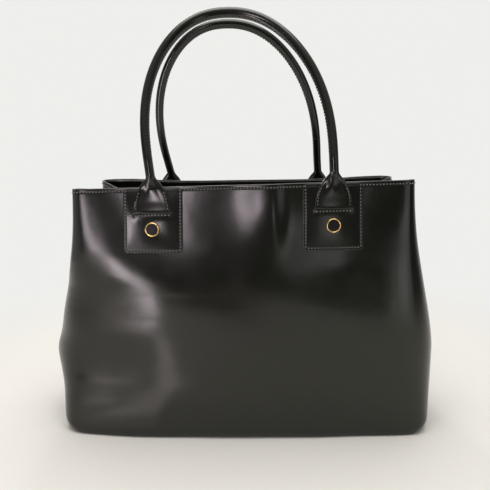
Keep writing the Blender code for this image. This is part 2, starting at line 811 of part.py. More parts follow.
def add_zip(frame):
    """A closed zip above the pocket, its slider at the end where it closes."""
    middle = POCKET_HEIGHT / 2 + CLEARANCE + ZIP_TAPE_WIDTH / 2
    slider_x = ZIP_STOP_LENGTH + CLEARANCE + SLIDER_LENGTH / 2 - ZIP_LENGTH / 2
    pin_y = slider_crown() + CLEARANCE + pull_knuckle()
    add_zip_tape(frame, middle)
    add_slider(frame, slider_x, middle, pin_y)
    add_pull(frame, slider_x, middle, pin_y)


clear_scene()
parts = new_collection("diaper_bag")
tools = new_collection("cutters")

leather = new_material("black_leather", (0.016, 0.016, 0.015), 0.36)
lining_cloth = new_material("black_lining", (0.012, 0.012, 0.012), 0.85)
board_card = new_material("grey_board", (0.25, 0.24, 0.22), 0.9)
cord_cotton = new_material("cotton_cord", (0.55, 0.50, 0.42), 0.9)
gold = new_material("pale_gold", (0.80, 0.62, 0.30), 0.25, 1.0)
brass = new_material("brass", (0.70, 0.52, 0.24), 0.4, 1.0)
enamel_black = new_material("black_enamel", (0.008, 0.008, 0.009), 0.12)
zip_black = new_material("black_zip", (0.014, 0.014, 0.014), 0.6)

side_frames = {
    "front": new_frame("front_frame", Matrix.Identity(4)),
    "back": new_frame("back_frame", Matrix.Rotation(math.pi, 4, "Z")),
}
body_panels = add_body(side_frames)
for side, side_frame in side_frames.items():
    # The back is turned half round, so its left and right swap and its sway runs the other way.
    facing_sign = 1 if side == "front" else -1
    for hand, hand_sign in (("left", -1), ("right", 1)):
        handle_neck = add_patch(f"{side}_{hand}", hand_sign * facing_sign, body_panels[side], side_frame)
    add_handle(side, handle_neck, side_frame, -HANDLE_SWAY * facing_sign)
    add_snap(f"{side}_snap", side_frame, stud=side == "back")

zip_pocket = pocket_frame("zip_pocket_frame", side_frames["back"], above=ZIP_TAPE_WIDTH)
add_pocket_sheet("zip_pocket", zip_pocket)
add_zip(zip_pocket)
add_pocket_sheet("slip_pocket", pocket_frame("slip_pocket_frame", side_frames["front"]))
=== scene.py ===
import math
import bmesh
import bpy
import numpy as np
from mathutils import Matrix, Vector


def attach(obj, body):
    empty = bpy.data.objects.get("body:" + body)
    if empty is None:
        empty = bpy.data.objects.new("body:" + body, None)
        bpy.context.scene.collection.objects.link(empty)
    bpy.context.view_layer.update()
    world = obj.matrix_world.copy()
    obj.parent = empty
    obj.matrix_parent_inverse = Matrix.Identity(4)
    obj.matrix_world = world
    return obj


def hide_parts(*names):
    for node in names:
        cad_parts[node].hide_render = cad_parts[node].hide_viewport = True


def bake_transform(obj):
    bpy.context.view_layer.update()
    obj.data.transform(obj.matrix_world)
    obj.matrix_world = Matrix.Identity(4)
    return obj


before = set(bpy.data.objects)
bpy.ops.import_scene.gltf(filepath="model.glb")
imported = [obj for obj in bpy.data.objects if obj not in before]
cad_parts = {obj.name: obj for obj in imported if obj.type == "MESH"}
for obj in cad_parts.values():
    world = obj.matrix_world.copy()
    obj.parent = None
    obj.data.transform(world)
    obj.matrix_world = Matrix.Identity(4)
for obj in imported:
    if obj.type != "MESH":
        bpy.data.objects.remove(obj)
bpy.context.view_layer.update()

print("frame loaded:", len(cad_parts), "nodes")
walls, sides = ("front", "back"), ("left", "right")

# the camera as fitted to the photograph, with the focal length and the image in pixels
camera = {"place": (.01275, -.5678, .2943), "yaw": .0205, "pitch": .1678, "roll": -.0139, "focal": 495.5,
          "image": 490, "sensor": 36}


def makeCamera():
    yaw, pitch, roll = camera["yaw"], camera["pitch"], camera["roll"]
    ahead = np.array([-math.sin(yaw) * math.cos(pitch), math.cos(yaw) * math.cos(pitch), -math.sin(pitch)])
    right = np.array([math.cos(yaw), math.sin(yaw), 0.0])
    up = np.cross(right, ahead)
    across = right * math.cos(roll) + up * math.sin(roll)
    tall = -right * math.sin(roll) + up * math.cos(roll)
    data = bpy.data.cameras.new("photoCamera")
    data.sensor_width = camera["sensor"]
    data.lens = camera["sensor"] * camera["focal"] / camera["image"]
    data.clip_start, data.clip_end = .01, 100
    eye = bpy.data.objects.new("photoCamera", data)
    turn = Matrix(np.stack([across, tall, -ahead], 1).tolist()).to_4x4()
    eye.matrix_world = Matrix.Translation(camera["place"]) @ turn
    bpy.context.scene.collection.objects.link(eye)
    bpy.context.scene.camera = eye


makeCamera()


def mixed(a, b, t):  # a at t = 0, b at t = 1
    return a + (b - a) * t


def eased(t):  # 3t^2 - 2t^3 held between 0 and 1
    t = np.clip(t, 0, 1)
    return t * t * (3 - 2 * t)


def unit(v):
    return v / np.maximum(np.linalg.norm(v, axis=-1, keepdims=True), 1e-12)


def gridFaces(rows, cols, closeCols=False):
    # quads of a rows x cols grid of points, wrapped round where asked
    r = np.arange(rows - 1)
    c = np.arange(cols if closeCols else cols - 1)
    r, c = np.meshgrid(r, c, indexing="ij")
    r2, c2 = r + 1, (c + 1) % cols
    quads = np.stack([r * cols + c, r2 * cols + c, r2 * cols + c2, r * cols + c2], -1)
    return quads.reshape(-1, 4)


def tubeFaces(rows, cols):  # rings of points closed by a pole at each end, with the two poles last in the list
    i = np.arange(cols)
    j, end, pole = (i + 1) % cols, (rows - 1) * cols, np.full(cols, rows * cols)
    return [gridFaces(rows, cols, closeCols=True)[:, ::-1], np.stack([i, j, pole], 1),
            np.stack([end + j, end + i, pole + 1], 1)]


def putMesh(name, points, faceSets, material, attributes=None, uv=None, smooth=True, closed=True):
    # arrays of points and faces into a mesh, with values on its points and a map for the weave
    points = np.ascontiguousarray(points.reshape(-1, 3), dtype=np.float32)
    faceSets = [np.asarray(f) for f in faceSets if len(f)]
    sizes = np.concatenate([np.full(len(f), f.shape[1]) for f in faceSets])
    corners = np.concatenate([f.ravel() for f in faceSets])
    mesh = bpy.data.meshes.new(name)
    mesh.vertices.add(len(points))
    mesh.vertices.foreach_set("co", points.ravel())
    mesh.loops.add(len(corners))
    mesh.loops.foreach_set("vertex_index", corners.astype(np.int32))
    mesh.polygons.add(len(sizes))
    starts = np.concatenate([[0], np.cumsum(sizes)[:-1]])
    mesh.polygons.foreach_set("loop_start", starts.astype(np.int32))
    mesh.polygons.foreach_set("use_smooth", np.full(len(sizes), smooth))
    for label, values in (attributes or {}).items():
        layer = mesh.attributes.new(label, "FLOAT", "POINT")
        layer.data.foreach_set("value", np.asarray(values, np.float32).ravel())
    if uv is not None:
        layer = mesh.uv_layers.new(name="weave")
        layer.data.foreach_set("uv", uv.reshape(-1, 2)[corners].astype(np.float32).ravel())
    mesh.update(calc_edges=True)
    mesh.validate()
    if closed:  # every face outwards
        shell = bmesh.new()
        shell.from_mesh(mesh)
        bmesh.ops.recalc_face_normals(shell, faces=shell.faces)
        shell.to_mesh(mesh)
        shell.free()
    mesh.materials.append(material)
    piece = bpy.data.objects.new(name, mesh)
    bpy.context.scene.collection.objects.link(piece)
    return piece


def settle(piece, body, slot, *nodes):  # ride, finish slot (not used) and the nodes it stands for
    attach(piece, body)
    if nodes:
        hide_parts(*nodes)


def turned(points, face):  # the back is the front turned half round the upright axis
    return points * np.array([-1, -1, 1]) if face == "back" else points


def plug(tree, target, ins):  # a socket is linked, any other value is set
    for key, value in ins.items():
        if isinstance(value, bpy.types.NodeSocket):
            tree.links.new(value, target.inputs[key])
        else:
            target.inputs[key].default_value = value
    return target


def node(tree, kind, ins=None, **settings):
    made = tree.nodes.new(kind)
    for key, value in settings.items():
        setattr(made, key, value)
    return plug(tree, made, ins or {})


def newGroup(name, ins, outs):
    tree = bpy.data.node_groups.new(name, "ShaderNodeTree")
    for label, kind, value in ins:
        socket = tree.interface.new_socket(name=label, in_out="INPUT", socket_type="NodeSocket" + kind)
        if value is not None:
            socket.default_value = value
    for label, kind in outs:
        tree.interface.new_socket(name=label, in_out="OUTPUT", socket_type="NodeSocket" + kind)
    return tree, tree.nodes.new("NodeGroupInput"), tree.nodes.new("NodeGroupOutput")


def mathNode(tree, operation, a, b=0.0, clamp=False):
    return node(tree, "ShaderNodeMath", {0: a, 1: b}, operation=operation, use_clamp=clamp).outputs[0]


def mixColour(tree, share, a, b):  # sockets 6 and 7 are the two colours, 2 is the mixed one
    return node(tree, "ShaderNodeMix", {0: share, 6: a, 7: b}, data_type="RGBA").outputs[2]


def noise(tree, place, scale, detail):
    return node(tree, "ShaderNodeTexNoise", {"Vector": place, "Scale": scale, "Detail": detail}).outputs["Fac"]


def ranged(tree, value, low, high, newLow=0.0, newHigh=1.0, kind="LINEAR"):
    return node(tree, "ShaderNodeMapRange", {"Value": value, "From Min": low, "From Max": high, "To Min": newLow,
                                             "To Max": newHigh}, interpolation_type=kind).outputs[0]


def bumped(tree, height, strength, distance):
    return node(tree, "ShaderNodeBump", {"Height": height, "Strength": strength, "Distance": distance}).outputs[0]


def objectPlace(tree):
    return node(tree, "ShaderNodeTexCoord").outputs["Object"]


def makeGrainGroup():
    # fine pores from small Voronoi cells, broken up by noise, over slow waves of the hide
    tree, ins, outs = newGroup("hideGrain", [
        ("Vector", "Vector", None), ("Cells", "Float", 1500.0), ("Waves", "Float", 90.0)],
        [("Height", "Float"), ("Waviness", "Float"), ("Cloud", "Float")])
    place = ins.outputs["Vector"]
    cells = node(tree, "ShaderNodeTexVoronoi", {"Vector": place, "Scale": ins.outputs["Cells"]}, feature="SMOOTH_F1")
    fine = mathNode(tree, "MULTIPLY", noise(tree, place, 5200.0, 3.0), .5)
    plug(tree, outs, {"Height": mathNode(tree, "ADD", cells.outputs["Distance"], fine),
                      "Waviness": noise(tree, place, ins.outputs["Waves"], 2.0),
                      "Cloud": noise(tree, place, 26.0, 4.0)})
    return tree


def makeScuffGroup():
    # thin stretched noise lines, kept only at their peaks, as hairline scuffs
    tree, ins, outs = newGroup("hairScuffs", [("Vector", "Vector", None), ("Amount", "Float", .5)],
                               [("Mask", "Float")])
    turn = node(tree, "ShaderNodeMapping", {"Vector": ins.outputs["Vector"], "Rotation": (.3, .9, .5),
                                           "Scale": (60, 900, 900)})
    peaks = ranged(tree, noise(tree, turn.outputs[0], 1.0, 2.0), .66, .78)
    plug(tree, outs, {"Mask": mathNode(tree, "MULTIPLY", peaks, ins.outputs["Amount"], True)})
    return tree


def makeWeaveGroup():
    # twill: two crossing sine ridges, the second shifted half a thread in each next row
    tree, ins, outs = newGroup("twillWeave", [("Vector", "Vector", None), ("Threads", "Float", 1400.0)],
                               [("Height", "Float"), ("Tone", "Float")])
    place = node(tree, "ShaderNodeSeparateXYZ", {0: ins.outputs["Vector"]})
    along, up = (mathNode(tree, "MULTIPLY", place.outputs[k], ins.outputs["Threads"]) for k in "XY")
    warp = mathNode(tree, "SINE", mathNode(tree, "ADD", along, up))
    weft = mathNode(tree, "SINE", mathNode(tree, "SUBTRACT", mathNode(tree, "MULTIPLY", up, 2.0), along))
    height = mathNode(tree, "ADD", mathNode(tree, "MULTIPLY", warp, .6), mathNode(tree, "MULTIPLY", weft, .4))
    plug(tree, outs, {"Height": height, "Tone": noise(tree, ins.outputs["Vector"], 240.0, 3.0)})
    return tree


def makeRubbedGroup():
    # metal rubbed bright in patches: slow noise for tarnish, fine noise for hairlines
    tree, ins, outs = newGroup("rubbedMetal", [("Vector", "Vector", None), ("Scale", "Float", 500.0)],
                               [("Tarnish", "Float"), ("Hairline", "Float")])
    place = ins.outputs["Vector"]
    turn = node(tree, "ShaderNodeMapping", {"Vector": place, "Scale": (900, 900, 9000)})
    plug(tree, outs, {"Tarnish": noise(tree, place, ins.outputs["Scale"], 4.0),
                      "Hairline": noise(tree, turn.outputs[0], 1.0, 2.0)})
    return tree


grainGroup, scuffGroup = makeGrainGroup(), makeScuffGroup()
weaveGroup, rubbedGroup = makeWeaveGroup(), makeRubbedGroup()


def newMaterial(name, sets):
    material = bpy.data.materials.new(name)
    material.use_nodes = True
    tree = material.node_tree
    shader = next(n for n in tree.nodes if n.type == "BSDF_PRINCIPLED")
    return material, tree, plug(tree, shader, sets)


def useGroup(tree, group, **ins):
    return node(tree, "ShaderNodeGroup", ins, node_tree=group).outputs


leather = {"dark": (.0034, .0036, .0024, 1), "light": (.0068, .0070, .0050, 1), "edge": (.050, .049, .046, 1),
           "scuffed": (.03, .029, .027, 1), "scuffs": .35, "sheenTint": (.97, 1, .92, 1), "roughLow": .15,
           "roughHigh": .22, "edgeRough": .12, "sewnRough": .3, "sewnDull": .9, "cells": 1500.0, "waves": 95.0,
           "poreHeight": .35, "waveHeight": 2.0, "bump": .08, "depth": .0004}


def makeLeather(name, spec):
    # near-black hide: cloud shifts the tone, pores and waves bump it, the edge attribute brings the edge paint and
    # the sewn attribute a duller pressed line under a row of stitches, made dark by taking its gloss away as painted
    # shade of the groove
    material, tree, shader = newMaterial(name, {"Specular Tint": spec["sheenTint"]})
    place = objectPlace(tree)
    grain = useGroup(tree, grainGroup, Vector=place, Cells=spec["cells"], Waves=spec["waves"])
    scuffs = useGroup(tree, scuffGroup, Vector=place, Amount=spec["scuffs"])["Mask"]
    edge, sewn = (node(tree, "ShaderNodeAttribute", attribute_name=k).outputs["Fac"] for k in ("edge", "sewn"))
    tone = mixColour(tree, grain["Cloud"], spec["dark"], spec["light"])
    tone = mixColour(tree, scuffs, tone, spec["scuffed"])
    tone = mixColour(tree, edge, tone, spec["edge"])
    rough = ranged(tree, grain["Cloud"], .3, .7, spec["roughLow"], spec["roughHigh"])
    rough = mathNode(tree, "ADD", rough, mathNode(tree, "MULTIPLY", edge, spec["edgeRough"]))
    rough = mathNode(tree, "ADD", rough, mathNode(tree, "MULTIPLY", sewn, spec["sewnRough"]), True)
    height = mathNode(tree, "ADD", mathNode(tree, "MULTIPLY", grain["Height"], spec["poreHeight"]),
                      mathNode(tree, "MULTIPLY", grain["Waviness"], spec["waveHeight"]))
    plug(tree, shader, {"Base Color": tone, "Roughness": rough,
                        "Metallic": mathNode(tree, "MULTIPLY", sewn, spec["sewnDull"], True),  # takes the gloss away, so the line renders dark: painted shade of the stitch groove
                        "Normal": bumped(tree, height, spec["bump"], spec["depth"])})
    return material


def makeCloth(name, dark, light, threads):  # twill along the piece's own map
    material, tree, shader = newMaterial(name, {"Roughness": .85, "Sheen Weight": .15})
    place = node(tree, "ShaderNodeUVMap", uv_map="weave").outputs[0]
    weave = useGroup(tree, weaveGroup, Vector=place, Threads=threads)
    plug(tree, shader, {"Base Color": mixColour(tree, weave["Tone"], dark, light),
                        "Normal": bumped(tree, weave["Height"], .35, .0003)})
    return material


def makeMetal(name, bright, dull, low, high):  # tarnish shifts tone and roughness from bright to dull
    material, tree, shader = newMaterial(name, {"Metallic": 1.0})
    rubbed = useGroup(tree, rubbedGroup, Vector=objectPlace(tree), Scale=600.0)
    plug(tree, shader, {"Base Color": mixColour(tree, rubbed["Tarnish"], bright, dull),
                        "Roughness": ranged(tree, rubbed["Tarnish"], 0.0, 1.0, low, high),
                        "Normal": bumped(tree, rubbed["Hairline"], .06, .0002)})
    return material


def makeThread(name, dark, light):  # twisted strands as slanting bands of a dark and a light tone, the light bands painted sheen on the strands
    material, tree, shader = newMaterial(name, {"Roughness": .38})
    twist = node(tree, "ShaderNodeTexWave", {"Vector": objectPlace(tree), "Scale": 900.0, "Distortion": 1.5},
                 wave_type="BANDS", bands_direction="DIAGONAL").outputs["Fac"]
    plug(tree, shader, {"Base Color": mixColour(tree, twist, dark, light), "Normal": bumped(tree, twist, .4, .0002)})
    return material


def makeEnamel(name, dark, light):  # plain dark enamel, a little rubbed
    material, tree, shader = newMaterial(name, {"Specular IOR Level": .25})
    rubbed = useGroup(tree, rubbedGroup, Vector=objectPlace(tree), Scale=900.0)
    plug(tree, shader, {"Base Color": mixColour(tree, rubbed["Tarnish"], dark, light),
                        "Roughness": ranged(tree, rubbed["Hairline"], 0.0, 1.0, .34, .46)})
    return material


blackLeather = makeLeather("blackLeather", leather)
handleLeather = makeLeather("handleLeather", {**leather, "roughLow": .15, "roughHigh": .21, "bump": .010})
liningCloth = makeCloth("liningCloth", (.006, .006, .007, 1), (.013, .013, .014, 1), 5200.0)
tapeCloth = makeCloth("tapeCloth", (.008, .008, .008, 1), (.016, .016, .016, 1), 4200.0)
# the black stitch thread is toned pale grey here: painted highlight of the light its glossy strands catch
blackThread = makeThread("blackThread", (.150, .147, .142, 1), (.310, .305, .292, 1))
handleThread = makeThread("handleThread", (.012, .012, .011, 1), (.034, .033, .031, 1))
goldMetal = makeMetal("goldMetal", (.86, .63, .27, 1), (.66, .44, .16, 1), .12, .30)
brassMetal = makeMetal("brassMetal", (.70, .53, .25, 1), (.50, .36, .15, 1), .22, .42)
blackEnamel = makeEnamel("blackEnamel", (.003, .003, .003, 1), (.007, .007, .007, 1))
print("materials made")

# the bag's outer surface: the sizes of the body, and how far in its layers lie
bag = {"height": .270, "rimWidth": .360, "bellyWidth": .421, "baseWidth": .404, "belly": .090,
       "rimDepth": .119, "rimCorner": .114, "bellyDepth": .156, "bellyCorner": .134, "baseDepth": .160,
       "baseCorner": .156, "rimRadius": .014, "bellyRadius": .045, "baseRadius": .022, "foot": .009,
       "footSide": .015, "flare": 18, "fold": .036, "foldStart": .070, "rimDip": .006, "rimRow": .2661,
       "rimGroove": .00035, "seamDip": .0009, "turnIn": .0055, "gap": .0003, "bottom": .0034, "rimTop": .2691,
       "leather": .0018, "facing": .0012, "facingHeight": .036, "facingTop": .2680, "facingIn": .00195,
       "lining": .0008, "liningLow": .0062, "liningIn": .0035, "wrinkle": .0004}
# the curved ridge on the left: where it runs, how sharp it is, and how the wall behind it falls back and swells
crease = {"z": (.000, .0167, .0281, .0452, .0734, .1007, .1273, .1534, .1774, .1929, .2205, .2615, .28),
          "x": (-.138, -.118, -.104, -.088, -.071, -.074, -.086, -.094, -.108, -.135, -.170, -.189, -.194),
          "softZ": (0, .06, .11, .13, .155, .175, .20, .25), "soft": (.014, .013, .015, .020, .020, .012, .006, .003),
          "slope": .18, "full": .15, "swells": ((.004, (.125, .06, .06)), (.0043, (.080, .022, .017))), "low": .0030}
# soft forms of each wall: its sag, humps (size, then centre and both widths), corner fill, ripple and rim
drape = {"front": {"sag": 1.0, "sagUp": 0, "sagStart": -.060, "rimHump": (.0048, (.030, .028, .012), .178),
                   "humps": ((.0010, (.100, .035, .030), (.186, .022, .018)),
                             (.0018, (.150, .020, .018), (.130, .050, .060))),
                   "fill": (.0032, .0045), "ripple": (.0005, (52, 31, 1.1), (-13, 47)),
                   "rim": (.0008, .0150), "rimWaves": (), "rimFrom": (.15, .12)},
         "back": {"sag": .9, "sagUp": .006, "sagStart": -.088, "rimHump": (.0016, (.010, .030, .014), .17),
                  "humps": ((.0026, (.060, .050, .040), (.120, .05, .06)),),
                  "fill": (0, 0), "ripple": (.0006, (48, -29, .4), (17, 43)),
                  "rim": (.0012, 0), "rimWaves": ((.0036, (.150, .05, .05)), (.0034, (-.165, .03, .045))),
                  "rimFrom": (.19, .08)}}


def footInset(z, r):  # quarter circle of radius r at the foot of the wall
    return r - np.sqrt(np.maximum(r * r - np.maximum(r - z, 0) ** 2, 0))


def halfWidth(z):  # base to belly on an eased line, belly to rim on a sine to the power 1.5, less the rounded foot
    above = np.clip((z - bag["belly"]) / (bag["height"] - bag["belly"]), 0, 1)
    high = mixed(bag["bellyWidth"], bag["rimWidth"], np.sin(math.pi / 2 * above) ** 1.5)
    low = mixed(bag["baseWidth"], bag["bellyWidth"], eased(z / bag["belly"]))
    return np.where(z > bag["belly"], high, low) / 2 - footInset(z, bag["footSide"])


def halfDepth(z, base, belly, rim):  # a late flare to the base, a cosine from belly to rim, less the rounded foot
    above = np.clip((z - bag["belly"]) / (bag["height"] - bag["belly"]), 0, 1)
    high = mixed(belly, rim, 1 - np.cos(math.pi / 2 * above))
    low = mixed(belly, base, np.clip(1 - z / bag["belly"], 0, 1) ** bag["flare"])
    return np.where(z > bag["belly"], high, low) / 2 - footInset(z, bag["foot"])


def mound(x, centre, left, right):  # a hump whose two flanks have their own widths
    return np.exp(-((x - centre) / np.where(x < centre, left, right)) ** 2)


def creaseX(z):  # the ridge's line, averaged over 24 mm of height
    return sum(np.interp(z + d, crease["z"], crease["x"]) for d in (-.012, -.006, 0, .006, .012)) / 5


def sag(x, z, start):
    # the left part falls back behind a long curved ridge: slope times the distance past it, rounded at the ridge
    lean = (creaseX(z + .004) - creaseX(z - .004)) / .008
    behind = (np.minimum(creaseX(z), start) - x) / np.sqrt(1 + lean ** 2)
    soft = np.interp(z, crease["softZ"], crease["soft"])
    behind = soft * np.log1p(np.exp(np.clip(behind / soft, -30, 30)))
    return crease["slope"] * np.clip(.6 + .4 * z / crease["full"], 0, 1) * behind


def wallShift(x, z, face):
    # outward shift of a wall: the sag, then humps under the rim and on the belly, filled corners and slow ripples
    own = drape[face]
    size, place, start = own["rimHump"]
    shift = size * mound(x, *place) * eased((z - start) / .08) - own["sag"] * sag(x, z + own["sagUp"], own["sagStart"])
    for size, placeX, placeZ in own["humps"]:
        shift = shift + size * mound(x, *placeX) * mound(z, *placeZ)
    fill = np.where(x > 0, own["fill"][1], own["fill"][0]) * np.clip(np.abs(x) / .19, 0, 1) ** 2
    fill = fill * (1 - np.clip(1 - z / bag["belly"], 0, 1) ** bag["flare"])
    shift = shift + fill * (1 - eased((z - .10) / .12))
    size, (a, b, c), (d, e) = own["ripple"]
    return shift + size * np.sin(a * x + b * z + c) * np.sin(d * x + e * z)


def rimLift(x, z, face):  # the rear rim waves a little higher than the front one
    (level, tilt), (start, over) = drape[face]["rim"], drape[face]["rimFrom"]
    wave = level + tilt * x + sum(size * mound(x, *place) for size, place in drape[face]["rimWaves"])
    return wave * eased((z - start) / over)


def faceEnd(z):  # where the bowed face meets the corner arc, with the sizes of the outline at that height
    width = halfWidth(z)
    corner = halfDepth(z, bag["baseCorner"], bag["bellyCorner"], bag["rimCorner"])
    middle = halfDepth(z, bag["baseDepth"], bag["bellyDepth"], bag["rimDepth"])
    radius = np.where(z < bag["belly"], mixed(bag["baseRadius"], bag["bellyRadius"], eased(z / bag["belly"])),
                      mixed(bag["bellyRadius"], bag["rimRadius"],
                            eased((z - bag["belly"]) / (bag["height"] - bag["belly"]))))
    turn = math.pi / 2 - np.arctan(2 * (middle - corner) / (width - radius))
    return width - radius + radius * np.cos(turn), width, corner, middle, radius, turn


def skin(u, z, face):
    # the plain skin averaged over neighbouring u round the corners, so that face and corner run into each other
    u, z = np.broadcast_arrays(np.asarray(u, float), np.asarray(z, float))
    reach = .11 * eased((np.abs(u) - .70) / .3) * np.clip((2.9 - np.abs(u)) / .5, 0, 1)
    return sum(w * plainSkin(u + k * reach, z, face) for k, w in ((-2, 1), (-1, 2), (0, 3), (1, 2), (2, 1))) / 9


def plainSkin(u, z, face):
    # u from the left seam (-3) over the corner (-2 to -1) and the middle (0) to the right seam (3), z upwards:
    # a folded side, a corner arc and a bowed face, then the soft shifts
    q, sign = 3 - np.abs(u), np.where(u < 0, -1.0, 1.0)
    end, width, corner, middle, radius, turn = faceEnd(z)
    arcY = corner - radius * np.sin(turn)
    fold = (1 + np.cos(math.pi * np.clip(q, -1, 1))) / 2 * (q < 1)
    deep = bag["fold"] * eased((z - bag["foldStart"]) / (bag["height"] - bag["foldStart"]))
    a = turn * np.clip(q - 1, 0, 1)
    x = np.where(q < 1, width - deep * fold,
                 np.where(q < 2, width - radius + radius * np.cos(a), end * (3 - q)))
    y = np.where(q < 1, mixed(bag["gap"] / 2, arcY, q),
                 np.where(q < 2, arcY + radius * np.sin(a), corner + (middle - corner) * (1 - (x / end) ** 2)))
    y = y + wallShift(sign * x, z, face) * eased(y / (.75 * corner))
    # the left side swells out, and the rear rim turns in above it
    slack = sign < 0 if face == "front" else sign > 0
    swell = sum(size * mound(z, *place) for size, place in crease["swells"])
    swell = swell + crease["low"] * (1 - eased((z - .075) / .045))
    x = x + swell * slack * eased((x - .10) / .09)
    turnIn = bag["turnIn"] * eased((x - .10) / .07) * eased((z - .20) / .07) * eased(q)
    x = x - turnIn * slack * (face == "back")
    high = z - bag["rimDip"] * fold * eased(z / bag["height"]) + rimLift(sign * x, z, face) * eased(q)
    dip = bag["seamDip"] * np.clip((np.abs(u) - 2.94) / .06, 0, 1) ** 2  # at the side seam
    groove = bag["rimGroove"] * np.exp(-((z - bag["rimRow"]) / .0007) ** 2)  # pulled in by the rim stitches
    y = y - groove * eased(q)
    x = x - dip - groove * (1 - eased(q))
    return turned(np.stack([sign * x, -y, high], -1), face)


def skinFrame(u, z, face):  # place, outward normal, across and up directions
    e = 1e-3
    across = unit(skin(u + e, z, face) - skin(u - e, z, face))
    up = unit(skin(u, z + e * .2, face) - skin(u, z - e * .2, face))
    return skin(u, z, face), unit(np.cross(across, up)), across, up


def onFace(x, z, face):  # the same for a place across x on the front or back
    return skinFrame(np.asarray(x) / faceEnd(np.asarray(z, float))[0], z, face)


def closedSheet(outer, normal, up, thick, steps=6):
    # a strip of leather: outside up, half circle over the top edge, inside down, half circle under the bottom edge
    a = (np.arange(steps) + .5) / steps * math.pi
    inner = outer - normal * thick

    def halfRound(place, out, ahead):
        middle = place - out * thick / 2
        return middle[:, None] + thick / 2 * (np.cos(a)[:, None] * out[:, None] + np.sin(a)[:, None] * ahead[:, None])
    top = halfRound(outer[:, -1], normal[:, -1], up[:, -1])
    bottom = halfRound(inner[:, 0], -normal[:, 0], -up[:, 0])
    loop = np.concatenate([outer, top, inner[:, ::-1], bottom], 1)
    rows, cols = loop.shape[:2]
    # the two end caps: quads between the outside and the inside
    tall, k = outer.shape[1], np.arange(steps // 2)
    low = np.stack([2 * tall + 2 * steps - 1 - k, 2 * tall + steps + k], 1)[::-1]
    k = np.arange(tall + steps // 2)
    pairs = np.concatenate([low, np.stack([k, (2 * tall + steps - 1 - k) % cols], 1)])
    cap = np.stack([pairs[:-1, 0], pairs[1:, 0], pairs[1:, 1], pairs[:-1, 1]], 1)
    faces = [gridFaces(rows, cols, closeCols=True), cap[:, ::-1], cap + (rows - 1) * cols]
    edge = np.zeros((rows, cols))
    edge[:, tall:tall + steps] = 1
    edge[:, -steps:] = 1
    return loop, faces, edge


def columns(side, arc, flat):  # u from seam to seam: steps on the folded side, the corner arc and the face
    half = np.concatenate([np.linspace(-3, -2, side, endpoint=False), np.linspace(-2, -1, arc, endpoint=False),
                           np.linspace(-1, 0, flat, endpoint=False)])
    return np.concatenate([half, [0], -half[::-1]])


panelColumns = columns(26, 12, 62)


def makePanel(face):  # the skin from foot to rim with close rows at the rim stitches
    z = np.concatenate([np.linspace(bag["bottom"], .258, 100), np.linspace(.2584, bag["rimTop"], 24)])
    outer, normal, across, up = skinFrame(panelColumns[:, None], z[None, :], face)
    loop, faces, edge = closedSheet(outer, normal, up, bag["leather"])
    # sewn marks the line under the rim stitches, which the leather shows rougher and dark as painted shade of the
    # groove
    sewn = np.zeros(edge.shape)
    sewn[:, :len(z)] = np.exp(-((z - bag["rimRow"]) / .0009) ** 2)
    panel = putMesh(face + "Leather", loop, faces, blackLeather, {"edge": edge, "sewn": sewn})
    settle(panel, "bag", "black_leather", face + "_panel")


def makeFacing(face):  # a strip inside the rim, parallel to the skin
    u = columns(20, 8, 36)
    z = np.linspace(bag["height"] - bag["facingHeight"], bag["facingTop"], 20)
    outer, normal, across, up = skinFrame(u[:, None], z[None, :], face)
    loop, faces, edge = closedSheet(outer - normal * bag["facingIn"], normal, up, bag["facing"])
    facing = putMesh(face + "Facing", loop, faces, blackLeather, {"edge": edge * .6})
    settle(facing, "bag", "black_leather", face + "_facing")


def makeLining(face):  # parallel to the skin further in, creased by a wave that runs up and down
    u = columns(22, 8, 44)
    z = np.linspace(bag["liningLow"], bag["height"] - bag["facingHeight"] + .004, 64)
    outer, normal, across, up = skinFrame(u[:, None], z[None, :], face)
    wrinkle = 1 + np.sin(u[:, None] * 23 + np.sin(z * 60)[None, :] * 1.5)
    wrinkle = bag["wrinkle"] * wrinkle * np.sin(z / .24 * math.pi)
    outer = outer - normal * (bag["liningIn"] + wrinkle)[..., None]
    loop, faces = closedSheet(outer, normal, up, bag["lining"], 2)[:2]
    v = np.concatenate([z, [z[-1]] * 2, z[::-1], [z[0]] * 2])
    uv = np.stack(np.broadcast_arrays((u * .09)[:, None], v[None, :]), -1)
    lining = putMesh(face + "Lining", loop, faces, liningCloth, uv=uv)
    settle(lining, "bag", "black_lining", face + "_lining")


for face in walls:
    makePanel(face)
    makeFacing(face)
    makeLining(face)
print("panels, facings and linings made")

# rings of the base from its top centre to its bottom centre: share of the outline, inset and height
base = {"outline": (.0030, 0), "liningOutline": (.0070, .0044),
        "rings": ((.3, .01, .0060), (.9, .008, .0060), (1, .0040, .0056), (1, .0006, .0044), (1, .0002, .0030),
                  (1, .0008, .0018), (1, .0020, .0008), (1, .0040, .0002), (1, .008, 0), (.9, .008, 0), (.3, .01, 0)),
        "liningRings": ((.3, 0, .0072), (.9, 0, .0072), (.985, 0, .0075), (.992, 0, .0070), (.9, 0, .0063),
                        (.3, 0, .0063))}


def baseOutline(z, inset):  # the body's outline at one height, drawn in by inset
    outlines = []
    for face in walls:
        place, normal, across, up = skinFrame(panelColumns, np.full(len(panelColumns), z), face)
        outlines.append(place - normal * np.array([1, 1, 0]) * inset)
    return np.concatenate(outlines)[:, :2]


def discSheet(outline, steps):  # a flat piece from rings of one outline, poles closed
    rings = []
    for share, inset, z in steps:
        shrink = 1 - inset / np.maximum(np.linalg.norm(outline, axis=1), .01)
        rings.append(np.column_stack([outline * (share * shrink)[:, None], np.full(len(outline), z)]))
    points = np.concatenate(rings + [[rings[0].mean(0), rings[-1].mean(0)]])
    return points, tubeFaces(len(rings), len(outline))


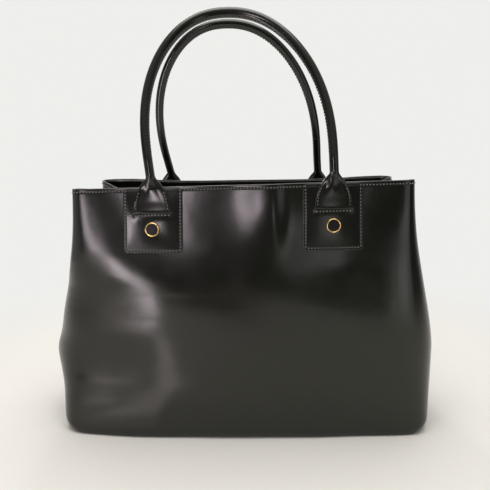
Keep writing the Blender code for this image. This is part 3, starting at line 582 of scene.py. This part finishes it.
def makeBase():
    # the base leather: flat inside, rounded out to the body's outline, flat underneath, with its lining on it
    points, faces = discSheet(baseOutline(*base["outline"]), base["rings"])
    made = putMesh("baseLeather", points, faces, blackLeather, {"edge": np.zeros(len(points))})
    settle(made, "bag", "black_leather", "base_panel", "base_board")
    points, faces = discSheet(baseOutline(*base["liningOutline"]), base["liningRings"])
    lining = putMesh("baseLining", points, faces, liningCloth, uv=points[:, :2])
    settle(lining, "bag", "black_lining", "base_lining")


makeBase()
print("base made")

# stitches of the leather, of the rolled handle, of its tongues and of the pockets
seam = {"pitch": .0034, "length": .0018, "thick": .00062, "sink": .3}
rollSeam = {**seam, "length": .0025, "thick": .0003}
tongueSeam = {**seam, "pitch": .0032, "length": .0024, "thick": .0003}
pocketSeam = {**seam, "pitch": .0032, "length": .0022, "thick": .00035}


def stitchRun(path, normal, spec):
    # short bowed threads laid along a path: each rises out of the leather and dives in again at its ends
    pitch, length, thick = spec["pitch"], spec["length"], spec["thick"]
    run = np.concatenate([[0], np.cumsum(np.linalg.norm(np.diff(path, axis=0), axis=1))])
    count = int(run[-1] / pitch)
    first = (run[-1] - (count - 1) * pitch - length) / 2
    n = 6  # points along a thread and round it
    s = np.linspace(0, 1, n)
    where = first + np.arange(count)[:, None] * pitch + s[None, :] * length

    def at(values):
        return np.stack([np.interp(where, run, values[:, k]) for k in range(3)], -1)
    centre, out = at(path), unit(at(normal))
    side = unit(np.cross(out, unit(np.gradient(centre, axis=1))))
    bow = np.sin(math.pi * s) ** .6
    rise, slant = thick * (bow * (1 + spec["sink"]) - 1), thick * .35 * (2 * s - 1)
    centre = centre + out * rise[None, :, None] + side * slant[None, :, None]
    radius = thick * (.55 + .45 * np.sin(math.pi * s))
    a = np.arange(n) / n * 2 * math.pi
    ring = centre[:, :, None] + radius[None, :, None, None] * (
        np.cos(a)[:, None] * side[:, :, None] + np.sin(a)[:, None] * out[:, :, None])
    shift = (np.arange(count) * n * n)[:, None, None]
    quads = (gridFaces(n, n, closeCols=True)[None] + shift).reshape(-1, 4)
    cap = np.stack([np.arange(n), n * (n - 1) + np.arange(n)[::-1]])
    return ring.reshape(-1, 3), [quads[:, ::-1], (cap[None] + shift).reshape(-1, n)]


def putStitches(name, runs, body="bag", material=blackThread):
    starts = np.concatenate([[0], np.cumsum([len(points) for points, faces in runs])])
    sets = [np.concatenate([faces[k] + start for (points, faces), start in zip(runs, starts)]) for k in range(2)]
    made = putMesh(name, np.concatenate([points for points, faces in runs]), sets, material)
    settle(made, body, "black_leather")


for face in walls:
    place, normal, across, up = skinFrame(panelColumns, np.full(len(panelColumns), bag["rimRow"]), face)
    putStitches(face + "RimStitches", [stitchRun(place + normal * .0001, normal, seam)])

# the handle patches: x by wall and side as seen on that wall
patch = {"x": {"front": {-1: -.0916, 1: .0925}, "back": {-1: -.092, 1: .092}}, "width": .0614, "bottom": .2022,
         "top": .2688, "thick": .0014, "corner": .0048, "edge": .0007, "slit": .2428, "slitHalf": .0185,
         "slitDeep": .0012, "slitRow": .0021, "lip": .0011, "stitchInset": .0026, "groove": .00022, "tuck": .0004,
         "dome": {"front": {-1: .0029, 1: .0016}, "back": {-1: .0018, 1: .0018}}}
patchMiddle = (patch["top"] + patch["bottom"]) / 2


def roundedCorner(x, z, halfX, halfZ, r):
    # moves the points of a square grid so that its corners become quarter discs
    a, b = (np.abs(x) - (halfX - r)) / r, (np.abs(z) - (halfZ - r)) / r
    both = (a > 0) & (b > 0)
    big, small = np.maximum(a, b), np.minimum(a, b)
    turn = math.pi / 4 * small / np.maximum(big, 1e-9)
    a2 = big * np.where(a >= b, np.cos(turn), np.sin(turn))
    b2 = big * np.where(a >= b, np.sin(turn), np.cos(turn))
    x = np.where(both, np.sign(x) * (halfX - r + a2 * r), x)
    z = np.where(both, np.sign(z) * (halfZ - r + b2 * r), z)
    inset = np.where(both, r * (1 - big), np.minimum(halfX - np.abs(x), halfZ - np.abs(z)))
    return x, z, np.maximum(inset, 0)


def ownSide(face, side):  # -1 or 1 as seen on that wall
    return -1 if (side == "left") == (face == "front") else 1


def onPatch(px, pz, face, own):  # the wall under a place on a patch, measured from the patch's middle
    return onFace(patch["x"][face][own] + px, patchMiddle + pz, face)


def patchDome(px, pz, face, own):  # the patch stands off the panel over the layers under it, most in its middle
    tall, half = (patch["top"] - patch["bottom"]) / 2, patch["width"] / 2
    return patch["dome"][face][own] * (1 - (px / half) ** 2) * (1 - .8 * (pz / tall) ** 2)


def plateFaces(rows, cols):  # an upper and a lower grid joined by a wall round their rim
    count = rows * cols
    rim = np.concatenate([np.arange(cols), np.arange(1, rows) * cols + cols - 1,
                          (rows - 1) * cols + np.arange(cols - 1)[::-1], np.arange(1, rows - 1)[::-1] * cols])
    wall = np.stack([rim, np.roll(rim, -1), np.roll(rim, -1) + count, rim + count], 1)
    faces = gridFaces(rows, cols)
    return [faces, (faces + count)[:, ::-1], wall[:, ::-1]]


def makePatch(face, side):
    # a rounded square that follows the panel; its height comes from the distance to its edge, the stitch groove
    # and the slit
    own = ownSide(face, side)
    halfX, halfZ = patch["width"] / 2, (patch["top"] - patch["bottom"]) / 2
    slitZ, slitHalf = patch["slit"] - patchMiddle, patch["slitHalf"]
    border = patch["thick"] * .5 * (1 - np.cos(np.linspace(0, 1, 7) * math.pi / 2))
    fine = np.concatenate([border, np.linspace(.0014, patch["corner"], 9)])
    xs = np.concatenate([-halfX + fine, np.linspace(-halfX + .006, halfX - .006, 34), halfX - fine[::-1]])
    zs = np.concatenate([-halfZ + fine, np.linspace(-halfZ + .006, slitZ - .0016, 26),
                         slitZ + np.linspace(-.0012, .0012, 13), np.linspace(slitZ + .0016, halfZ - .006, 16),
                         halfZ - fine[::-1]])
    gx, gz = np.meshgrid(xs, zs, indexing="ij")
    px, pz, inset = roundedCorner(gx, gz, halfX, halfZ, patch["corner"])
    rise = np.sqrt(np.clip(1 - (1 - np.clip(inset / patch["edge"], 0, 1)) ** 2, 0, 1))
    fromRow = inset - patch["stitchInset"]
    groove = patch["groove"] * np.exp(-(fromRow / .0006) ** 2) * (pz < halfZ - .004)
    cut = np.exp(-((pz - slitZ) / .00045) ** 2) * eased((slitHalf + .0008 - np.abs(px)) / .0010)
    # the tongue pushes up a lip under the slit
    under, over = np.minimum(pz - slitZ, 0) / .0055, np.maximum(pz - slitZ, 0) / .0010
    lip = patch["lip"] * np.exp(-under ** 2 - over ** 2) * eased((slitHalf + .004 - np.abs(px)) / .008)
    # sewn marks the lines under the stitches, which the leather shows rougher and dark as painted shade of the groove
    sewn = np.exp(-(fromRow / .0008) ** 2) * (pz < halfZ - .001)
    sewn += np.exp(-((pz - slitZ + patch["slitRow"]) / .0008) ** 2) * (np.abs(px) < slitHalf + .001)
    height = patch["thick"] * rise - groove - patch["slitDeep"] * cut + lip + patchDome(px, pz, face, own)
    place, normal, across, up = onPatch(px, pz, face, own)
    top = place + normal * (height + .0001)[..., None]
    low = place - normal * patch["tuck"]
    edge = np.concatenate([((inset < .0005) * .7 + .4 * cut).ravel(), np.ones(gx.size)])
    name = face + side.capitalize()
    made = putMesh(name + "Patch", np.concatenate([top.reshape(-1, 3), low.reshape(-1, 3)]), plateFaces(*gx.shape),
                   blackLeather, {"edge": edge, "sewn": np.concatenate([sewn.ravel(), np.zeros(gx.size)])})
    settle(made, "bag", "black_leather", f"{face}_{side}_patch")
    # stitches: down one side, along the bottom and up the other, and a row under the slit
    i = patch["stitchInset"]
    r = patch["corner"] - i
    a = np.linspace(0, math.pi / 2, 8)
    left = np.stack([np.full(30, -halfX + i), np.linspace(halfZ - .001, -halfZ + i + r, 30)], 1)
    turn = np.stack([-halfX + i + r - r * np.cos(a), -halfZ + i + r - r * np.sin(a)], 1)
    bottom = np.stack([np.linspace(-halfX + i + r, halfX - i - r, 40), np.full(40, -halfZ + i)], 1)
    flat = np.concatenate([left, turn, bottom, turn[::-1] * (-1, 1), left[::-1] * (-1, 1)])
    flat = flat[np.concatenate([[True], np.linalg.norm(np.diff(flat, axis=0), axis=1) > 1e-6])]
    row = np.stack([np.linspace(-slitHalf - .001, slitHalf + .001, 40), np.full(40, slitZ - patch["slitRow"])], 1)
    runs = []
    for path, lift in ((flat, -.00012), (row, .00085)):
        place, normal, across, up = onPatch(path[:, 0], path[:, 1], face, own)
        stand = patch["thick"] + lift + patchDome(path[:, 0], path[:, 1], face, own)
        runs.append(stitchRun(place + normal * stand[:, None], normal, seam))
    putStitches(name + "PatchStitches", runs)


for face in walls:
    for side in sides:
        makePatch(face, side)
print("patches and stitches made")

# the handles: one skin each, from slit to slit
handle = {"span": .0924, "rise": {"front": .169, "back": .1676}, "bulge": .0055, "lean": math.radians(16),
          "square": 2.3, "sway": {"front": (-.0138, 1), "back": (.0164, .74)}, "hingeY": -.06508, "hingeZ": .28478,
          "neck": .0047, "grip": {"front": .0053, "back": .0050}, "tongueHalf": .0186, "tongueLength": .036,
          "tongueThin": .0009, "tongueThick": .0016, "tongueRow": .0022, "sides": 40, "seamLip": .0008,
          "seamAt": {"front": math.pi - .55, "back": math.pi + .75}, "rowBeside": {"front": .36, "back": -.36}}


def archLine(count, face):
    # superellipse arch: across and up shares from one angle, swayed to one side and leaning inwards
    angle = math.pi * (1 - np.linspace(0, 1, count))
    c, s = np.cos(angle), np.maximum(np.sin(angle), 0)
    share = s ** (2 / handle["square"])
    sway, power = handle["sway"][face]
    x = handle["span"] * np.sign(c) * np.abs(c) ** (2 / handle["square"]) + sway * share ** power \
        + np.sign(c) * handle["bulge"] * np.sin(math.pi * share)
    up = handle["rise"][face] * share
    y = handle["hingeY"] + up * math.sin(handle["lean"])
    z = handle["hingeZ"] + up * math.cos(handle["lean"])
    return np.stack([x, y, z], 1), share


def tongueRows(own, face):
    # the flat tongue in its patch's frame: out of the slit, lying on the patch, then gathering to a round neck;
    # each row is centre, half width, half thickness, power of its superellipse, outward direction and flatness
    slitZ, length = patch["slit"] - patchMiddle, handle["tongueLength"]
    place, normal, across, up = (turned(v, face) for v in onPatch(np.zeros(1), np.full(1, slitZ), face, own))
    t = np.concatenate([[-.06, -.03], np.linspace(-.01, .21, 23), np.linspace(.24, 1, 24)])
    grow = np.clip(t, 0, 1)
    flat = mixed(handle["tongueThin"], handle["tongueThick"], eased(grow / .45))
    thick = mixed(flat, handle["neck"], grow ** 3.2)
    half = mixed(handle["neck"], handle["tongueHalf"], np.maximum(1 - grow ** 2.6, 0) ** 1.05)
    over = np.clip(slitZ + length * t, -.03, .0316)
    stand = patch["thick"] + .0002 + patchDome(0, over, face, own)
    lie = stand - .0005 * (1 - eased((t + .03) / .12)) - .0022 * np.clip(-t / .04, 0, 1)  # dips into the slit
    centre = place + normal * (lie + thick)[:, None] + up * (length * t)[:, None]
    power = mixed(7.0, 2.0, eased(grow * 1.05))
    return np.column_stack([centre, half, thick, power, np.repeat(normal, len(t), 0), 1 - grow])


def handleRows(face):  # tongue, roll and tongue in one table, with close rows near the slits and soft necks
    arch, share = archLine(170, face)
    radius = mixed(handle["neck"], handle["grip"][face], eased(share))
    leanOut = np.tile([0, -math.cos(handle["lean"]), math.sin(handle["lean"])], (len(share), 1))
    roll = np.column_stack([arch, radius, radius, np.full(len(share), 2.0), leanOut, np.zeros(len(share))])
    rows = np.concatenate([tongueRows(-1, face), roll[3:-3], tongueRows(1, face)[::-1]])
    step = np.concatenate([[0], np.cumsum(np.linalg.norm(np.diff(rows[:, :3], axis=0), axis=1))])
    near = .055
    dense = step[3] + np.linspace(0, near, 80, endpoint=False)
    run = np.concatenate([step[:3], dense, np.linspace(step[3] + near, step[-4] - near, 160),
                          (step[-4] + step[3] - dense)[::-1], step[-3:]])
    rows = np.stack([np.interp(run, step, column) for column in rows.T], 1)
    kernel = np.exp(-np.linspace(-2, 2, 9) ** 2)
    kernel /= kernel.sum()
    padded = np.pad(rows, ((4, 4), (0, 0)), mode="edge")
    soft = sum(kernel[k] * padded[k:k + len(rows)] for k in range(9))
    soft[:8], soft[-8:] = rows[:8], rows[-8:]
    return soft


def makeHandle(face):
    # a superellipse carried along the rows, with a ridge on each tongue and a raised seam on the roll
    table = handleRows(face)
    centre, out = table[:, :3], table[:, 6:9]
    half, thick, power, flatness = table[:, 3], table[:, 4], table[:, 5], table[:, 9]
    ahead = unit(np.gradient(centre, axis=0))
    lowUp = unit(np.cross(np.cross(out, ahead), out))
    ahead = unit(mixed(ahead, lowUp, eased(flatness * 1.5)[:, None]))
    side = unit(np.cross(out, ahead))
    out = unit(np.cross(ahead, side))
    a = np.arange(handle["sides"]) / handle["sides"] * 2 * math.pi
    ca, sa = np.cos(a)[None, :], np.sin(a)[None, :]
    wide = half[:, None] * np.sign(ca) * np.abs(ca) ** (2 / power[:, None])
    deep = thick[:, None] * np.sign(sa) * np.abs(sa) ** (2 / power[:, None])
    # the gathered middle of each tongue: a ridge that runs down from the roll, and edges that bend with the patch
    fold = eased(flatness * 3) * eased((1 - flatness) * 1.6)
    first = np.arange(len(table)) < len(table) / 2
    crest, tall = np.where(first, .0012, -.001 - .005 * flatness), np.where(first, .0011, .0018)

    def tongueRise(w):
        bend = np.clip(flatness * 1.6 - .6, 0, 1)[:, None] * .0024 * (w / (patch["width"] / 2)) ** 2
        return (fold * tall)[:, None] * np.exp(-((w - crest[:, None]) / .0032) ** 2) - bend
    deep = deep + tongueRise(wide) * np.maximum(sa, 0) ** .5
    # sewn seam along the inner side of the roll
    at = handle["seamAt"][face]
    near = np.abs((a - at + math.pi) % (2 * math.pi) - math.pi)[None, :]
    roll = eased((.02 - flatness) / .02)[:, None]
    lip = roll * handle["seamLip"] * np.exp(-(near / .20) ** 2)
    points = (centre[:, None] + side[:, None] * (wide + lip * ca)[..., None]
              + out[:, None] * (deep + lip * sa)[..., None])
    cutEdge = np.exp(-((np.abs(ca) - 1) / .03) ** 2) * np.clip(flatness * 2, 0, 1)[:, None] * .8
    lipEdge = roll * np.exp(-(near / .10) ** 2) * .8
    closed = np.concatenate([points.reshape(-1, 3), [points[0].mean(0), points[-1].mean(0)]])
    made = putMesh(face + "Handle", turned(closed, face), tubeFaces(*points.shape[:2]), handleLeather,
                   {"edge": np.concatenate([(cutEdge + lipEdge).ravel(), [0, 0]])})
    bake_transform(made)
    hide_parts(face + "_handle", face + "_handle_core", face + "_left_handle_end", face + "_right_handle_end")
    # stitches beside the sewn seam, on the part that moves with the handle
    moving = points[:, 0, 2] > .300
    beside = at + handle["rowBeside"][face]
    normal = (side * math.cos(beside) + out * math.sin(beside))[moving]
    place = centre[moving] + normal * (thick[moving] + .0001)[:, None]
    run = stitchRun(turned(place, face), turned(normal, face), rollSeam)
    putStitches(face + "HandleStitches", [run], face + "_handle", handleThread)
    # stitches down both edges of each tongue
    runs = []
    for part in (first, ~first):
        low = (flatness > .38) & (flatness < .93) & part
        for way in (-1, 1):
            w = way * (half - handle["tongueRow"])
            rise = thick * (1 - np.abs(w / half) ** power) ** (1 / power) + tongueRise(w[:, None])[:, 0]
            place = (centre + side * w[:, None] + out * rise[:, None])[low]
            runs.append(stitchRun(turned(place, face), turned(out[low], face), tongueSeam))
    putStitches(face + "TongueStitches", runs)


for face in walls:
    makeHandle(face)
print("handles made")


def spun(profile, place, across, up, out, segments=72):
    # turned metal: a profile of (radius, height) spun round the outward axis of a place on the panel
    profile = np.asarray(profile, float)
    a = np.arange(segments) / segments * 2 * math.pi
    ring = across[None] * np.cos(a)[:, None] + up[None] * np.sin(a)[:, None]
    points = place + profile[:, None, :1] * ring[None] + profile[:, None, 1:] * out[None, None]
    poles = [place + out * profile[0, 1], place + out * profile[-1, 1]]
    return np.concatenate([points.reshape(-1, 3), poles]), tubeFaces(len(profile), segments)


rivet = {"radius": .0074, "ring": .0016, "height": .0021, "z": .2266, "floor": .0003, "tuck": .0002,
         "face": .0012, "faceDome": .0005, "faceLow": .0004}


def makeRivet(face, side):  # a half-round bead on a flat plate, and a low dome inside it
    own, high = ownSide(face, side), rivet["z"] - patchMiddle
    place, out, across, up = (v[0] for v in onPatch(np.zeros(1), np.full(1, high), face, own))
    seat = place + out * (patch["thick"] + patchDome(0, high, face, own))
    r, h, inner = rivet["radius"], rivet["height"], rivet["radius"] - rivet["ring"]
    a = np.linspace(0, math.pi, 14)
    bead = np.stack([(r + inner) / 2 - rivet["ring"] / 2 * np.cos(a), h * .45 + h * .55 * np.sin(a)], 1)
    profile = np.concatenate([[[.0004, rivet["floor"]], [inner, rivet["floor"]]], bead,
                              [[r, 0], [r - .001, -rivet["tuck"]], [.0004, -rivet["tuck"]]]])
    name = face + side.capitalize()
    ring = putMesh(name + "Rivet", *spun(profile, seat, across, up, out), goldMetal)
    settle(ring, "bag", "gold", f"{face}_{side}_rivet")
    s, wide = np.linspace(0, 1, 10), inner + .0001
    dome = np.stack([np.maximum(wide * s, .0003), rivet["face"] + rivet["faceDome"] * (1 - s ** 2)], 1)
    dome = np.concatenate([dome, [[wide, rivet["faceLow"]], [.0003, rivet["faceLow"]]]])
    disc = putMesh(name + "RivetFace", *spun(dome, seat, across, up, out), blackEnamel)
    settle(disc, "bag", "black_enamel", f"{face}_{side}_rivet_face")


for face in walls:
    for side in sides:
        makeRivet(face, side)

# the snap's socket in front and its stud behind, as profiles of (radius, height), on one flange
snap = {"z": .2520, "in": .0033, "flange": ((.0085, .0006), (.0085, -.0002), (.0003, -.0002)),
        "front": ((.0003, .0016), (.0026, .0016), (.0032, .0034), (.0060, .0036), (.0072, .0032), (.0078, .0018),
                  (.0084, .0014)),
        "back": ((.0003, .0042), (.0020, .0042), (.0027, .0037), (.0028, .0022), (.0034, .0020), (.0070, .0019),
                 (.0080, .0015))}


def makeSnap(face):
    place, out, across, up = (v[0] for v in onFace(np.zeros(1), np.full(1, snap["z"]), face))
    made = putMesh(face + "Snap", *spun(snap[face] + snap["flange"], place - out * snap["in"], across, -up, -out),
                   goldMetal)
    settle(made, "bag", "gold", face + "_snap")


for face in walls:
    makeSnap(face)
print("rivets and snap made")

# the pockets: one sheet each, sewn to the lining at the sides and below and standing free in the middle
pocket = {"half": .090, "low": .0823, "high": .1866, "thick": .0010, "corner": .0225, "hem": .011, "hemThick": .0006,
          "press": .026, "plane": {"front": -.06662, "back": -.06579}, "tilt": .0617, "middle": .1343, "gape": .0030,
          "in": .0056, "stitchInset": .003}


def pocketBack(x, z, face):
    # the side towards the lining: on the lining at the seams, out to the flat plane of the free middle
    place, normal, across, up = onFace(x, z, face)
    near = turned(place - normal * pocket["in"], face)[..., 1]
    flat = pocket["plane"][face] + pocket["tilt"] * (z - pocket["middle"])
    free = eased(np.minimum(pocket["half"] - np.abs(x), z - pocket["low"]) / pocket["press"])
    gape = pocket["gape"] * mound(x, -.01, .05, .06) * eased((z - .140) / .045) * (face == "front")
    return near + (np.maximum(flat - near, 0) + gape) * free


def makePocket(face):
    # a rectangle with round lower corners, as deep as pocketBack, and thicker at the turned-over hem
    half, low, high, hem = pocket["half"], pocket["low"], pocket["high"], pocket["hem"]
    tall, middle = (high - low) / 2, (high + low) / 2
    zs = np.concatenate([np.linspace(-tall, tall - hem - .0006, 40), tall - hem + np.linspace(0, 1, 8) * hem])
    gx, gz = np.meshgrid(np.linspace(-half, half, 73), zs, indexing="ij")
    px, pz = roundedCorner(gx, gz, half, tall, pocket["corner"])[:2]
    px, pz = np.where(gz < 0, px, gx), np.where(gz < 0, pz, gz) + middle
    fold = pocket["hemThick"] * eased((pz - high + hem) / .0006)  # turned-over top edge
    back = np.stack([px, pocketBack(px, pz, face), pz], -1)
    front = back + np.stack([px * 0, pocket["thick"] + fold, px * 0], -1)
    points = turned(np.concatenate([back.reshape(-1, 3), front.reshape(-1, 3)]), face)
    uv = np.concatenate([np.stack([px, pz], -1).reshape(-1, 2)] * 2)
    made = putMesh(face + "Pocket", points, plateFaces(*px.shape), liningCloth, uv=uv)
    settle(made, "bag", "black_lining", "slip_pocket" if face == "front" else "zip_pocket")
    # stitches: down one side, round the lower corners and up the other, and along the hem
    i = pocket["stitchInset"]
    r = pocket["corner"] - i
    a = np.linspace(0, math.pi / 2, 14)
    side = np.stack([np.full(30, -half + i), np.linspace(high - .002, low + i + r, 30)], 1)
    turn = np.stack([-half + i + r - r * np.cos(a), low + i + r - r * np.sin(a)], 1)[1:]
    flat = np.concatenate([side, turn, turn[::-1] * (-1, 1), side[::-1] * (-1, 1)])
    hemRow = np.stack([np.linspace(-.086, .086, 80), np.full(80, high - hem + .0016)], 1)
    runs = []
    for row, rise in ((flat, 0), (hemRow, pocket["hemThick"])):
        y = pocketBack(row[:, 0], row[:, 1], face) + pocket["thick"] + rise
        path, out = np.stack([row[:, 0], y, row[:, 1]], 1), np.tile([0.0, 1.0, 0.0], (len(row), 1))
        runs.append(stitchRun(turned(path, face), turned(out, face), pocketSeam))
    putStitches(face + "PocketStitches", runs)


for face in walls:
    makePocket(face)

# the zip of the back pocket: woven tape and two rows of teeth that mesh
zipper = {"half": .084, "wide": .0240, "thick": .0008, "middle": .0648, "pitch": .0020, "rowApart": .0009,
          "tooth": (.000496, .0016, .0016), "start": (0, -.06579, .13433), "tilt": .0617}


def zipPlace(x, v, w):  # along the zip, up the wall, away from the wall
    s, c = math.sin(zipper["tilt"]), math.cos(zipper["tilt"])
    own = np.stack([x, v * s + w * c, v * c - w * s], -1) + np.array(zipper["start"])
    return turned(own, "back")


def makeZip():
    x, v = np.meshgrid(np.linspace(-zipper["half"], zipper["half"], 43),
                       zipper["middle"] + np.linspace(-.5, .5, 9) * zipper["wide"], indexing="ij")
    points = np.concatenate([zipPlace(x, v, x * 0 + w).reshape(-1, 3) for w in (0, zipper["thick"])])
    uv = np.concatenate([np.stack([x, v], -1).reshape(-1, 2)] * 2)
    tape = putMesh("zipTape", points, plateFaces(*x.shape), tapeCloth, uv=uv)
    settle(tape, "bag", "black_zip", "zip_tape")
    # each tooth: an eight-sided block with a rounded crown, the rows shifted by half a pitch
    count = int(2 * zipper["half"] / zipper["pitch"]) - 2
    k, n = np.arange(2 * count), 8
    middleX = (k - (2 * count - 1) / 2) * zipper["pitch"] / 2
    middleV = zipper["middle"] + np.where(k % 2, 1, -1) * zipper["rowApart"]
    a = np.arange(n) / n * 2 * math.pi + math.pi / n
    halfX, halfV, tall = zipper["tooth"]
    level, size = np.array([0, .72, 1]), np.array([1, 1, .68])
    ringX = halfX * np.sign(np.cos(a)) * np.abs(np.cos(a)) ** .5
    ringV = halfV * np.sign(np.sin(a)) * np.abs(np.sin(a)) ** .5
    x = middleX[:, None, None] + size[None, :, None] * ringX[None, None, :]
    v = middleV[:, None, None] + size[None, :, None] * ringV[None, None, :]
    w = np.broadcast_to((zipper["thick"] + tall * level)[None, :, None], x.shape)
    shift = (k * 3 * n)[:, None, None]
    quads = (gridFaces(3, n, closeCols=True)[None] + shift).reshape(-1, 4)
    caps = (np.stack([np.arange(n)[::-1], 2 * n + np.arange(n)])[None] + shift).reshape(-1, n)
    teeth = putMesh("zipTeeth", zipPlace(x, v, w), [quads[:, ::-1], caps], goldMetal, smooth=False)
    settle(teeth, "bag", "gold")


makeZip()
print("pockets and zip made")

# the small metal that stays as CAD gets its finish
goldNodes = ("zip_slider", "zip_pull", "zip_stop_left", "zip_stop_right")
for name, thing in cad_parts.items():
    if name in goldNodes or name.endswith("washer"):
        for place in thing.material_slots:
            place.material = goldMetal if name in goldNodes else brassMetal

# floor and background: fade is where the floor runs into the sky, overhead the light from above
stage = {"floor": (.77, .745, .695, 1), "floorLight": (.79, .765, .715, 1), "sky": (.86, .86, .84, 1),
         "room": (.07, .07, .07, 1), "overhead": (.50, .50, .48, 1), "fade": (.28, .75), "half": 1.15, "low": -.0003}


def makeFloor():
    # pale floor that fades into the background with the distance from the middle
    material, tree, shader = newMaterial("paleFloor", {"Roughness": .6})
    place = objectPlace(tree)
    plug(tree, shader, {"Base Color": mixColour(tree, noise(tree, place, 3.0, 2.0), stage["floor"],
                                                stage["floorLight"])})
    far = node(tree, "ShaderNodeVectorMath", {0: place}, operation="LENGTH").outputs["Value"]
    fade = ranged(tree, far, *stage["fade"], kind="SMOOTHSTEP")
    seen = node(tree, "ShaderNodeLightPath").outputs["Is Camera Ray"]
    glow = node(tree, "ShaderNodeEmission", {"Color": stage["sky"], "Strength": 1.0})
    blend = node(tree, "ShaderNodeMixShader", {0: mathNode(tree, "MULTIPLY", fade, seen), 1: shader.outputs[0],
                                               2: glow.outputs[0]})
    final = next(n for n in tree.nodes if n.type == "OUTPUT_MATERIAL")
    plug(tree, final, {"Surface": blend.outputs[0]})
    x, y = np.meshgrid(*[np.linspace(-stage["half"], stage["half"], 3)] * 2, indexing="ij")
    points = np.stack([x, y, np.full_like(x, stage["low"])], -1)
    floor = putMesh("paleFloor", points, [gridFaces(3, 3)], material, closed=False)


def makeWorld():
    world = bpy.data.worlds.new("studio")
    bpy.context.scene.world = world
    world.use_nodes = True
    tree = world.node_tree
    back = next(n for n in tree.nodes if n.type == "BACKGROUND")
    path = node(tree, "ShaderNodeLightPath").outputs
    way = node(tree, "ShaderNodeSeparateXYZ", {0: node(tree, "ShaderNodeTexCoord").outputs["Generated"]}).outputs
    behind = ranged(tree, way["Y"], .2, .9)
    mirror = mathNode(tree, "ADD", path["Is Glossy Ray"], path["Is Transmission Ray"], True)
    share = mathNode(tree, "ADD", path["Is Camera Ray"], mathNode(tree, "MULTIPLY", mirror, behind), True)
    room = mixColour(tree, ranged(tree, way["Z"], .25, .60, kind="SMOOTHSTEP"), stage["room"], stage["overhead"])
    plug(tree, back, {"Color": mixColour(tree, share, room, stage["sky"]), "Strength": 1.0})


windowTint = (1, .85, .98)
# place, target, size and glow, the brightness of the lamp's face, then where its long side points if not upwards
softLamps = {"leftWindow": ((-.885, -1.118, .215), (-.10, -.07, .18), (.13, .33), 16.0),
             "leftCard": ((-.56, -.82, .015), (-.55, -.80, .6), (.085, 1.12), 10.0, (.489, .873, 0)),
             "farCard": ((-.65, -.98, .020), (-.64, -.96, .6), (.085, .50), 6.0, (.489, .873, 0)),
             "nearCard": ((-.19, -.29, .010), (-.19, -.29, .6), (.045, .26), 1.7, (.6, .8, 0)),
             "hookCard": ((-.155, -.155, .008), (-.155, -.155, .6), (.075, .09), 1.0, (1, 0, 0)),
             "frontWindow": ((-.40, -1.45, .52), (0, -.06, .24), (.13, .40), 15.0)}
# place, target, size, glow and tint
plainLamps = {"topSoft": ((0, -.05, 1.7), (0, 0, .1), (1.4, 1.4), 3.8, (1, 1, .985)),
              "frontFill": ((.36, -1.45, .33), (.1, -.07, .22), (.18, .28), 1.6, (1, 1, 1)),
              "rightLow": ((.98, -1.10, .10), (.15, -.07, .12), (.40, .24), .8, (1, 1, .97)),
              "leftWall": ((-1.25, -.22, .20), (-.2, -.05, .14), (1.1, .60), .50, (1, .90, .97)),
              "backFill": ((-.3, 1.5, .75), (0, .07, .16), (.3, .8), 6.0, (1, .97, .95)),
              "rightFill": ((1.0, -.85, .40), (.15, 0, .12), (.60, .80), .9, (.95, .97, 1))}


def makeLamp(name, place, target, size, glow, tint, along=(0, 0, 1)):
    data = bpy.data.lights.new(name, "AREA")
    data.shape = "RECTANGLE"
    data.size, data.size_y = size
    data.energy = glow * math.pi * size[0] * size[1]
    data.color = tint
    lamp = bpy.data.objects.new(name, data)
    lamp.visible_camera = False
    bpy.context.scene.collection.objects.link(lamp)
    away = (Vector(place) - Vector(target)).normalized()
    across = Vector(along).cross(away).normalized()
    turn = Matrix((across, away.cross(across), away)).transposed()
    lamp.matrix_world = Matrix.Translation(place) @ turn.to_4x4()


def makeSoftLamp(name, place, target, size, glow, along=(0, 0, 1)):
    # three nested sheets a millimetre apart, so that the lamp's mirror image fades out towards its edges
    away = (Vector(place) - Vector(target)).normalized()
    for k, (wide, tall, share) in enumerate(((.7, .92, .42), (1.0, 1.0, .35), (1.5, 1.10, .23))):
        makeLamp(f"{name}{k + 1}", Vector(place) + away * .001 * k, target, (size[0] * wide, size[1] * tall),
                 glow * share, windowTint, along)


makeFloor()
makeWorld()
for name, spec in softLamps.items():
    makeSoftLamp(name, *spec)
for name, spec in plainLamps.items():
    makeLamp(name, *spec)
bpy.context.scene.view_settings.view_transform = "Standard"
print("floor and lamps made")
